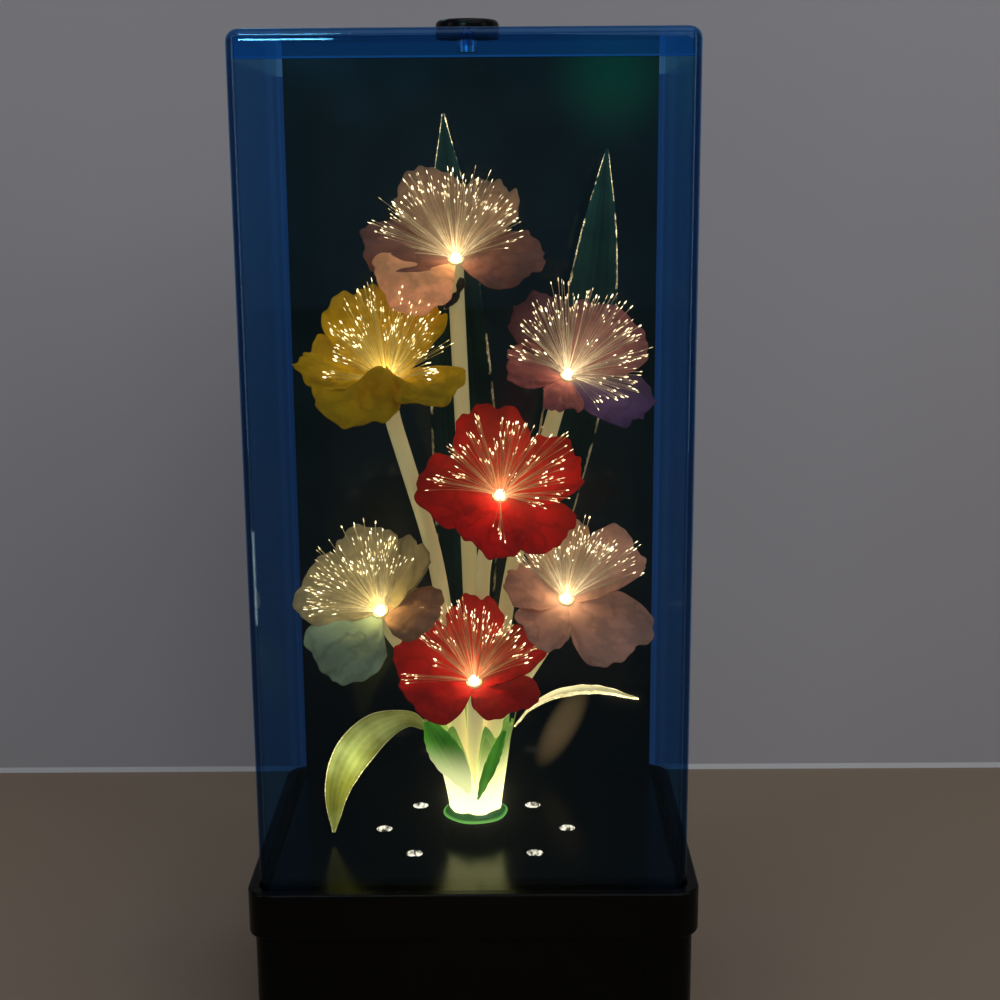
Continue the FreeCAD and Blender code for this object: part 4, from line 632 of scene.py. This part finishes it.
def metal_finish(name, colour, low, high, scale=900.0):
    """Rolled or drawn metal."""
    finish, tree, shader = new_finish(name, {"Metallic": 1.0})
    skin = use(tree, "metal", Low=low, High=high, Scale=scale)
    feed(shader, "Roughness", skin["Roughness"])
    shaded(shader, colour, skin["Shade"])
    bump(shader, skin["Height"], 0.12, 0.0002)
    return finish


def matt_finish(name, colour, roughness, dark, scale=120.0, grain=0.2):
    """Nylon, rubber, tape, lamp glass or ceramic."""
    finish, tree, shader = new_finish(name, {"Roughness": roughness})
    skin = use(tree, "mottle", Scale=scale, Dark=dark)
    shaded(shader, colour, skin["Shade"])
    bump(shader, skin["Height"], grain, 0.0002)
    return finish


def film_finish():
    """Four colour films of the wheel, one a window, told apart by the two diagonals through its axis."""
    finish, tree, shader = new_finish("coloured_filter_film", {"Roughness": 0.2})
    pink, amber = (0.55, 0.10, 0.42, 1), (0.62, 0.30, 0.03, 1)
    blue, green = (0.05, 0.16, 0.50, 1), (0.06, 0.36, 0.12, 1)
    x, y, _ = place_in(tree)
    across = minus(x, WHEEL_AXIS)
    rise, fall = is_over(plus(across, y), 0.0), is_over(minus(across, y), 0.0)
    skin = use(tree, "mottle", Scale=40.0, Dark=0.7)
    film = mixed(rise, mixed(fall, pink, amber), mixed(fall, blue, green))
    feed(shader, "Base Color", toned(film, skin["Shade"]))
    bump(shader, skin["Height"], 0.03, 0.0002)
    return finish


def cover_finish():
    """Clear cover, tinted blue: light passes straight through, deeper blue the more it slants, at
    the rear wall and where it enters a wall end-on, and its polished faces mirror by Fresnel."""
    finish, tree, shader = new_finish("tinted_cover", {"Base Color": (0.30, 0.60, 1.0, 1), "Metallic": 1.0})
    feed(shader, "Roughness", use(tree, "gloss", Low=0.015, High=0.05, Scale=30.0)["Roughness"])
    slant = put(tree, "LayerWeight", {"Blend": 0.5}).outputs["Facing"]
    x, y, z = place_in(tree)
    tint = mixed(ranged(slant, 0.35, 0.88), (0.95, 0.965, 0.975, 1), (0.29, 0.59, 0.94, 1))
    tint = mixed(ranged(slant, 0.90, 1.0), tint, (0.02, 0.10, 0.42, 1))
    tint = mixed(is_over(y, COVER_REAR), tint, (0.22, 0.46, 0.80, 1))
    tint = mixed(is_over(z, COVER_HEAD), tint, (0.41, 0.74, 1.0, 1))
    front = is_under(y, COVER_FRONT)
    tint = mixed(times(front, ranged(unsigned(x), *COVER_SIDE)), tint, (0.09, 0.17, 0.32, 1))
    tint = mixed(times(front, ranged(z, *COVER_ROOF)), tint, (0.15, 0.37, 0.72, 1))
    leaving = put(tree, "NewGeometry").outputs["Backfacing"]
    index = minus(1.46, times(leaving, 0.775))    # going in, and its inverse coming out
    share = times(put(tree, "Fresnel", {"IOR": index}).outputs[0], 0.8)
    show_both(share, put(tree, "BsdfTransparent", {"Color": tint}), shader)
    return finish


def panel_finish():
    """Black rear panel with painted light as emission: a faint clouded green-blue glow growing towards its
    top; on its front a round painted green reflection high on its right, by the distance from its middle,
    and a slanting painted tan reflection low, by the turned and divided distances."""
    finish = gloss_finish("black_panel", (0.0006, 0.0022, 0.0024), 0.10, 0.17, 0.35, 30.0, 0.02)
    tree = finish.node_tree
    shader = tree.nodes["Principled BSDF"]
    x, y, z = place_in(tree)
    front = is_under(y, PANEL_FACE)
    # painted green reflection: a soft round glow, as emission, high on the right of the front face
    away = raised(squares(minus(x, 0.054), minus(z, 0.352)), 0.5)
    painted_green_reflection = times(front, ranged(away, 0.0, 0.030, 1.0, 0.0, "SMOOTHSTEP"))
    # painted light: the emission rises from black low down to a faint clouded green-blue glow at the top
    cloud = ranged(object_noise(tree, 38.0, 3.0), 0.30, 0.75)
    top = ranged(z, 0.12, 0.36)
    base = mixed(top, (0.0, 0.0, 0.0, 1), (0.0025, 0.0060, 0.0050, 1))
    base = mixed(times(cloud, top), base, (0.0030, 0.0085, 0.0105, 1))
    base = mixed(painted_green_reflection, base, (0.002, 0.031, 0.019, 1))
    # painted tan reflection: a slanting soft glow, as emission, low on the front face
    aside, above = minus(x, 0.035), minus(z, 0.092)
    along = divided(plus(times(aside, 0.469), times(above, 0.883)), 0.022)
    across = divided(plus(times(aside, -0.883), times(above, 0.469)), 0.0075)
    painted_tan_reflection = times(front, ranged(squares(along, across), 0.0, 1.0, 1.0, 0.0, "SMOOTHSTEP"))
    feed(shader, "Emission Color", mixed(painted_tan_reflection, base, (0.085, 0.056, 0.024, 1)))
    shader.inputs["Emission Strength"].default_value = 1.0
    return finish


def petal_finish(name, warm):
    """Thin petal cloth: its tint, soft clouds, painted shade in its creases, light that comes through, and
    the glow that the light guides throw on it near the root, with a painted glow all over it by its cloth."""
    finish, tree, shader = new_finish(name, {"Roughness": 0.62, "Emission Strength": 1.0,
                                             "Specular IOR Level": 0.04})
    glow = painted(tree, "glow")
    veins = use(tree, "ribs", Count=11.0, Wander=0.16, Fan=1.0)
    # painted shade: the creases darken the petal's colour and its glow
    crease = use(tree, "crinkle", Scale=95.0, Dark=0.80)
    cloud = times(use(tree, "mottle", Scale=70.0, Dark=0.72)["Shade"], crease["Shade"])
    base = toned(painted(tree, "tint", "Color"), cloud)
    feed(shader, "Base Color", base)
    hot = mixed(times(glow, 0.55, clamp=True), base, (*warm, 1))
    feed(shader, "Emission Color", toned(hot, glow))
    bump(shader, plus(crease["Height"], times(veins["Height"], 0.2)), 0.5, 0.0006)
    show_both(0.40, shader, put(tree, "BsdfTranslucent", {"Color": base}))
    return finish


def fibre_finish(name, light, cloth):
    """Clear guides that carry light: tinted by the petals behind them, warm along their length and
    white hot at root and tip."""
    finish, tree, shader = new_finish(name, {"Roughness": 0.3, "Emission Strength": 4.0})
    base = tuple(0.30 * a + 0.04 * b for a, b in zip(cloth, light))
    shaded(shader, base, use(tree, "mottle", Scale=300.0, Dark=0.7)["Shade"])
    shine = painted(tree, "shine")
    lively = times(shine, ranged(object_noise(tree, 500.0, 1.0), 0.3, 0.7, 0.75, 1.15))
    white = mixed(ranged(shine, 0.18, 0.65), (*light, 1), (1.0, 0.83, 0.48, 1))
    feed(shader, "Emission Color", toned(white, lively))
    finish.cycles.emission_sampling = "NONE"
    return finish


def leaf_finish(name, dark, pale, gilt, width, gaps=0.42, glow=0.0, through=0.25, patch=55.0, ribs=0.35):
    """Leaf: ribs, two greens clouded into each other and darkened or lightened by the painted light along it,
    a gilded edge with painted glints, a painted glow by glow, and, where its fade is 1, a foot lit through by
    the sheath."""
    finish, tree, shader = new_finish(name, {"Roughness": 0.42, "Emission Strength": 1.0,
                                             "Specular IOR Level": 0.12})
    lines = use(tree, "ribs", Count=13.0, Wander=0.09)
    cloud = ranged(object_noise(tree, patch, 4.0), 0.36, 0.66)
    green = mixed(cloud, (*dark, 1), (*pale, 1))
    green = mixed(ribs, green, toned(green, lines["Shade"]))
    # painted light along the leaf, with its random variation: it darkens or lightens the green and
    # strengthens the painted glints
    painted_light_and_variation = painted(tree, "variation_and_painted_light")
    green = toned(green, painted_light_and_variation)
    edge = use(tree, "gilt", Width=width, Gaps=gaps)
    feed(shader, "Base Color", mixed(edge["Mask"], green, (0.75, 0.58, 0.26, 1)))
    # painted highlights: the gilded edge glows faintly and glints, most where the painted light along the
    # leaf is high
    painted_edge_glints = plus(times(edge["Mask"], 0.35 * gilt), times(edge["Glint"], 1.6 * gilt))
    gold = toned((1.0, 0.80, 0.42, 1), times(painted_edge_glints, raised(painted_light_and_variation, 2.0)))
    # painted glow: the leaf's green times glow, added to the edge's painted highlights
    own = mixed(1.0, gold, mixed(1.0, green, (glow, glow, glow, 1), "MULTIPLY"), "ADD")
    foot = times(painted(tree, "fade"), use(tree, "lit", Low=0.091, High=0.111)["Mask"])
    feed(shader, "Emission Color", mixed(foot, own, (1.35, 1.25, 0.60, 1)))
    bump(shader, lines["Height"], 0.8 * ribs)
    show_both(through, shader, put(tree, "BsdfTranslucent", {"Color": green}))
    return finish


def sheath_finish():
    """Pale leaf sheath, lit white hot at its foot, yellow half way up and green at its rim."""
    finish, tree, shader = new_finish("sheath_wrap", {"Roughness": 0.45, "Emission Strength": 1.0})
    fibres = object_noise(tree, 500.0, 3.0, (1.0, 1.0, 0.06))
    feed(shader, "Base Color", mixed(fibres, (0.16, 0.30, 0.07, 1), (0.34, 0.46, 0.20, 1)))
    high = use(tree, "lit", Low=0.088, High=0.117)["Mask"]
    body = mixed(high, (0.085, 0.18, 0.022, 1), (0.66, 0.66, 0.16, 1))
    low = use(tree, "lit", Low=0.080, High=0.108)["Mask"]
    feed(shader, "Emission Color", mixed(low, body, (2.2, 2.0, 0.95, 1)))
    bump(shader, fibres, 0.3)
    return finish


def stem_finish():
    """Ivory stem tube with the light inside it showing through, most at the foot."""
    finish, tree, shader = new_finish("ivory_stem", {"Roughness": 0.35, "Emission Strength": 1.0,
                                                     "Coat Weight": 0.2})
    cloud = use(tree, "mottle", Scale=60.0, Dark=0.85)
    shaded(shader, (0.62, 0.54, 0.28), cloud["Shade"])
    foot = use(tree, "lit", Low=0.085, High=0.16)["Mask"]
    feed(shader, "Emission Color", mixed(foot, (0.20, 0.17, 0.07, 1), (0.62, 0.50, 0.20, 1)))
    bump(shader, cloud["Height"], 0.05, 0.0001)
    return finish


def deck_finish():
    """Gloss black deck whose reflections get a painted olive-yellow tint; the walls of its six small holes
    are lit from below.
    """
    finish = gloss_finish("gloss_black_deck", (0.0015, 0.0015, 0.0015), 0.19, 0.27, 0.16)
    tree = finish.node_tree
    shader = tree.nodes["Principled BSDF"]
    # painted reflection colour: the deck's mirror images are tinted olive yellow, as of the sheath
    shader.inputs["Specular Tint"].default_value = (0.80, 0.92, 0.10, 1)
    x, y, z = place_in(tree)
    inside = [is_under(squares(minus(unsigned(x), aside * MM), minus(y, ahead * MM)),
                       (LIGHT_HOLE_RADIUS * MM) ** 2) for aside, ahead in LIGHT_HOLES]
    near = larger(larger(inside[0], inside[1]), inside[2])
    lit = times(near, is_under(z, (DECK - 0.05) * MM))
    lit = times(lit, ranged(object_noise(tree, 420.0, 2.0), 0.42, 0.58, 0.04, 1.0))
    feed(shader, "Emission Color", toned((1.0, 0.92, 0.72, 1), lit))
    shader.inputs["Emission Strength"].default_value = 1.3
    return finish


def ring_finish():
    """Clear dark green ring at the sheath's foot, its rim lit."""
    finish, tree, shader = new_finish("green_foot_ring", {"Roughness": 0.2, "Emission Strength": 1.0})
    cloud = use(tree, "mottle", Scale=200.0, Dark=0.5)
    shaded(shader, (0.02, 0.13, 0.025), cloud["Shade"])
    high = use(tree, "lit", Low=0.0795, High=0.0815)["Mask"]
    body = mixed(high, (0.45, 0.65, 0.16, 1), (0.006, 0.060, 0.008, 1))
    low = use(tree, "lit", Low=0.0773, High=0.0781)["Mask"]
    feed(shader, "Emission Color", mixed(low, body, (0.16, 0.46, 0.08, 1)))
    bump(shader, cloud["Height"], 0.1, 0.0002)
    return finish


FINISHES = {
    "cover_tint": cover_finish(),
    "gloss_black": gloss_finish("gloss_black_shell", BLACK, 0.22, 0.38, 0.09),
    "panel_black": panel_finish(),
    "satin_black": gloss_finish("satin_black_plastic", (0.004, 0.004, 0.0045), 0.34, 0.5, 0.2, 80.0, 0.12),
    "rubber_black": matt_finish("black_rubber", (0.018, 0.018, 0.018), 0.8, 0.6),
    "zinc_steel": metal_finish("zinc_plated_steel", (0.62, 0.63, 0.62), 0.25, 0.42),
    "clear_glass": matt_finish("clear_lamp_glass", (0.75, 0.76, 0.74), 0.06, 0.9, 80.0, 0.02),
    "ceramic_white": matt_finish("white_ceramic", (0.78, 0.76, 0.70), 0.5, 0.85),
    "nylon_white": matt_finish("white_nylon", (0.74, 0.73, 0.69), 0.45, 0.9),
    "core_steel": metal_finish("stacked_core_steel", (0.20, 0.20, 0.21), 0.35, 0.6, 2400.0),
    "winding_tape": matt_finish("amber_winding_tape", (0.55, 0.32, 0.05), 0.35, 0.7, 200.0),
    "motor_zinc": metal_finish("motor_can", (0.55, 0.55, 0.54), 0.3, 0.5),
    "brass": metal_finish("brass_parts", (0.72, 0.50, 0.20), 0.25, 0.4),
    "lead_white": matt_finish("white_lead_sleeve", (0.70, 0.69, 0.66), 0.4, 0.85),
    "stem_ivory": stem_finish(),
    "filter_film": film_finish(),
    "sheath_green": sheath_finish(),
    "leaf_green": leaf_finish("tall_leaf", (0.006, 0.025, 0.019), (0.015, 0.050, 0.034), 0.34, 0.042,
                              glow=0.10, through=0.2),
}
# Slots that aren't listed belong to nodes that a piece of the bouquet replaces.
for part in frame["record"]["subparts"]:
    node = frame["nodes"][part["node"]]
    finish = deck_finish() if part["node"] == "deck_plate" else FINISHES.get(part["material_slot"])
    if finish is None:
        continue
    if not node.material_slots:
        node.data.materials.append(finish)
    for held in node.material_slots:
        held.material = finish


# ---- the bouquet
for name, flower in FLOWERS.items():
    cloth = petal_finish("petal_cloth_" + name, flower["light"])
    guide = fibre_finish("guide_light_" + name, flower["light"], CLOTHS[flower["petals"][1][4]])
    make_piece("corolla_" + name, [petal(flower, i) for i in range(len(flower["petals"]))], cloth,
               stands_for=["petals_" + name], wall=0.35)
    fan = make_piece("fibres_" + name, [fibre_fan(flower), bundle_end(flower)], guide,
                     stands_for=["guides_" + name])
    fan.visible_shadow = False
    ahead_of_root = Vector((root_of(flower) + axes_of(flower)[0] * 5.0) * MM)
    bulb = new_light("glow_" + name, "POINT", ahead_of_root, 0.009, flower["light"])
    bulb.data.shadow_soft_size = 0.003
    bulb.visible_glossy = False

TALL = FINISHES["leaf_green"]
OLIVE = leaf_finish("left_drooping_leaf", (0.24, 0.24, 0.03), (0.50, 0.54, 0.16), 0.9, 0.03, 0.30, 0.85,
                    patch=60.0, ribs=0.25)
CREAM = leaf_finish("right_drooping_leaf", (0.30, 0.26, 0.09), (0.80, 0.75, 0.44), 1.8, 0.16, 0.22, 1.25,
                    patch=40.0)
SMALL = leaf_finish("small_leaf", (0.020, 0.13, 0.010), (0.08, 0.28, 0.02), 0.25, 0.03, 0.5, 0.8)
# The listed values along each blade below are painted light: the tall leaves lighten towards their tips, the
# left drooping leaf beyond its middle.
make_piece("tall_leaf_middle", [blade(
    [(-0.6, 14.2, 97.9), (-2, 19.2, 115), (-2.5, 23.5, 159.5), (-3, 26.5, 208.5), (-6, 25.5, 270.8),
     (-9.4, 18.5, 337.5)], 25, (0.2, 0.56, 0.88, 1, 0.96, 0.8, 0.56, 0.03), (0, -1, 0), (0, -1, 0), 0.05,
    painted_light_along=(0.7, 0.7, 0.7, 0.9, 1.2, 2.6))],
    TALL, stands_for=["leaf_tall_middle"], wall=0.6)
make_piece("tall_leaf_right", [blade(
    [beside_sheath(38, 97.9, 1.3), beside_sheath(38, 115, 2.5), (21.5, 17, 157), (32, 22, 203.2),
     (44, 24, 266.2), (50, 22, 325)], 22, (0.23, 0.5, 0.64, 0.82, 1, 0.95, 0.64, 0.035),
    (-0.79, -0.62, 0), (0.1, -1, 0), 0.05, phase=2.0, painted_light_along=(0.6, 0.6, 0.7, 0.9, 1.2, 2.8))],
    TALL, stands_for=["leaf_tall_right"], wall=0.6)
make_piece("drooping_leaf_left", [blade(
    [(-18.8, -5, 113.5), (-23.4, -6, 116.5), (-34.6, -8, 114.5), (-45.5, -9, 104.1), (-51.4, -9, 91.2),
     (-53.5, -10, 73.2)], 14, (0.21, 0.5, 0.86, 1, 0.93, 0.71, 0.43, 0.06), (0, -1, 0.15), (0, -1, 0.15),
    0.08, painted_light_along=(0.55, 0.55, 0.70, 1.5, 1.6, 1.0, 0.8))],
    OLIVE, stands_for=["leaf_droop_left"], wall=0.6)
make_piece("drooping_leaf_right", [blade(
    [(15.3, -4, 113), (22.4, -5, 121.5), (30.3, -6, 125.9), (45.7, -8, 128.5), (61, -10, 125.5)], 10,
    (0.23, 0.62, 0.92, 1, 0.85, 0.54, 0.06), (0, 0.03, 1), (0, 0.0, 1), 0.06, wave=0.12)],
    CREAM, stands_for=["leaf_droop_right"], wall=0.6)
# Two small leaves that hug the sheath: side, lean round it, height of the foot, width, fade.
hugging = []
for side, spread, low, wide, fade in ((-1, 0.90, 90.0, 15.0, 1.0), (1, 0.74, 87.0, 5.5, 0.0)):
    spine = [beside_sheath(270 + side * (8 + 19 * i) * spread, low + 27.0 * i / 3, 1.4) for i in range(4)]
    outside = (side * 0.5, -1, -0.2)
    hugging.append(blade(spine, wide, (0.10, 0.70, 1, 0.85, 0.30), outside, outside, 0.10, 13, 40, fade=fade))
make_piece("small_sheath_leaves", hugging, SMALL, stands_for=["small_leaves"], wall=0.5)
SEPAL = leaf_finish("dark_sepal", (0.016, 0.013, 0.006), (0.055, 0.040, 0.016), 0.02, 0.03, 0.0, 0.3)
make_piece("peach_sepal", [blade(
    [(-3.0, 9.0, 279.5), (-3.6, 9.9, 277), (-5.0, 11.3, 273.4), (-7.4, 11.6, 270.4), (-9.8, 10.8, 268)], 3.2,
    (0.6, 1, 0.5, 1, 0.7, 0.1), (0, -1, 0.2), (0.3, -1, 0.4), 0.12, 11, 30, wave=0.5)],
    SEPAL, wall=0.4)
make_piece("sheath_cups", [sheath_cup(0.4, 5, 18, 9.0, 0.0), sheath_cup(1.9, 4, 45, 7.0, 2.0)],
           FINISHES["sheath_green"], stands_for=["leaf_sheath"], wall=0.6)
make_piece("sheath_foot_ring", [foot_ring()], ring_finish(), wall=0.4)


# ---- studio
def stage_sheet(name, corners, finish):
    """Flat stage piece from its corners."""
    mesh = bpy.data.meshes.new(name)
    mesh.from_pydata(corners, [], [tuple(range(len(corners)))])
    mesh.materials.append(finish)
    made = show(name, mesh)


def stage_finish(name, colour, roughness, one_sided=False):
    """Plain painted stage; one sided, it is clear from its back."""
    finish, tree, shader = new_finish(name, {"Base Color": (*colour, 1), "Roughness": roughness,
                                             "Specular IOR Level": 0.0})
    if one_sided:
        back = put(tree, "NewGeometry").outputs["Backfacing"]
        show_both(back, shader, put(tree, "BsdfTransparent"))
    return finish


def soft_light(name, place, towards, size, power, colour=(1, 1, 1), beam=180.0):
    """Rectangular soft light that faces a point, with a beam of some degrees."""
    made = new_light(name, "AREA", place, power, colour)
    made.data.shape = "RECTANGLE"
    made.data.size, made.data.size_y = size
    made.data.spread = math.radians(beam)
    made.rotation_euler = (Vector(place) - Vector(towards)).to_track_quat("Z", "Y").to_euler()
    return made


stage_sheet("floor", [(-3, -3, 0), (3, -3, 0), (3, 3, 0), (-3, 3, 0)],
            stage_finish("pale_floor", (0.30, 0.235, 0.175), 0.7))
stage_sheet("skirting", [(-3, 0.2315, 0), (3, 0.2315, 0), (3, 0.2315, 0.003), (-3, 0.2315, 0.003)],
            stage_finish("pale_skirting", (0.9, 0.92, 0.95), 0.4, one_sided=True))
stage_sheet("wall", [(-3, 0.232, 0), (3, 0.232, 0), (3, 0.232, 3), (-3, 0.232, 3)],
            stage_finish("pale_wall", (0.54, 0.52, 0.545), 0.8, one_sided=True))
soft_light("front_softbox", (0.7, -1.3, 1.3), (0, 0, 0.15), (1.2, 1.0), 5.2)
soft_light("top_softbox", (0.1, -0.15, 1.5), (0, 0.05, 0), (1.4, 0.7), 4.0)
soft_light("left_strip", (-0.75, -0.35, 0.45), (0, 0, 0.2), (0.10, 0.8), 0.7, (0.85, 0.93, 1.0))
soft_light("right_strip", (0.75, -0.35, 0.45), (0, 0, 0.2), (0.10, 0.8), 0.7, (0.85, 0.93, 1.0))
# Narrow beams that only mirroring faces show, aimed at the cover's rounded edges: three along its top
# and one on its left corner.
SKY, WARM = (0.45, 0.88, 1.0), (1.0, 0.70, 0.45)
for name, *setting in (
        ("window_high", (-0.18, -0.50, 1.13), (-0.06, -0.05, 0.357), (0.10, 0.13), 0.032, SKY, 32),
        ("window_low", (-0.115, -0.45, 0.465), (-0.055, -0.056, 0.361), (0.06, 0.075), 0.022, SKY, 32),
        ("window_rear", (-0.10, 0.22, 0.51), (-0.06, 0.056, 0.362), (0.06, 0.05), 0.0036, SKY, 28),
        ("window_side", (-0.395, -0.296, 0.077), (-0.075, -0.056, 0.185), (0.25, 0.055), 0.016, WARM, 32)):
    soft_light(name, *setting).visible_diffuse = False
world = bpy.data.worlds.new("studio")
scene.world = world
world.use_nodes = True
surround = world.node_tree.nodes["Background"].inputs
surround[0].default_value, surround[1].default_value = (0.06, 0.068, 0.08, 1), 1.0

lens = bpy.data.cameras.new("camera")
lens.lens = 56.6626
lens.sensor_width = 36
lens.clip_start = 0.01
camera = show("camera", lens)
pitch, roll, yaw = 0.2145, -0.0069, -0.0039
level = Vector((math.cos(yaw), -math.sin(yaw), 0))
ahead = Vector((math.sin(yaw), math.cos(yaw), 0))
forward = ahead * math.cos(pitch) - Vector((0, 0, math.sin(pitch)))
upward = ahead * math.sin(pitch) + Vector((0, 0, math.cos(pitch)))
right = level * math.cos(roll) + upward * math.sin(roll)
over = upward * math.cos(roll) - level * math.sin(roll)
stand = Matrix((right, over, -forward)).transposed().to_4x4()
stand.translation = (0.012375, -0.56447, 0.32207)
camera.matrix_world = stand
scene.camera = camera
scene.view_settings.view_transform = "Standard"
scene.use_nodes = True
wires = scene.node_tree
wires.nodes.clear()
seen = wires.nodes.new("CompositorNodeRLayers")
bloom = wires.nodes.new("CompositorNodeGlare")
bloom.glare_type = "BLOOM"
bloom.quality = "HIGH"
for key, value in (("Threshold", 1.3), ("Strength", 0.45), ("Size", 0.30)):
    bloom.inputs[key].default_value = value
shown = wires.nodes.new("CompositorNodeComposite")
wires.links.new(seen.outputs["Image"], bloom.inputs["Image"])
wires.links.new(bloom.outputs["Image"], shown.inputs["Image"])
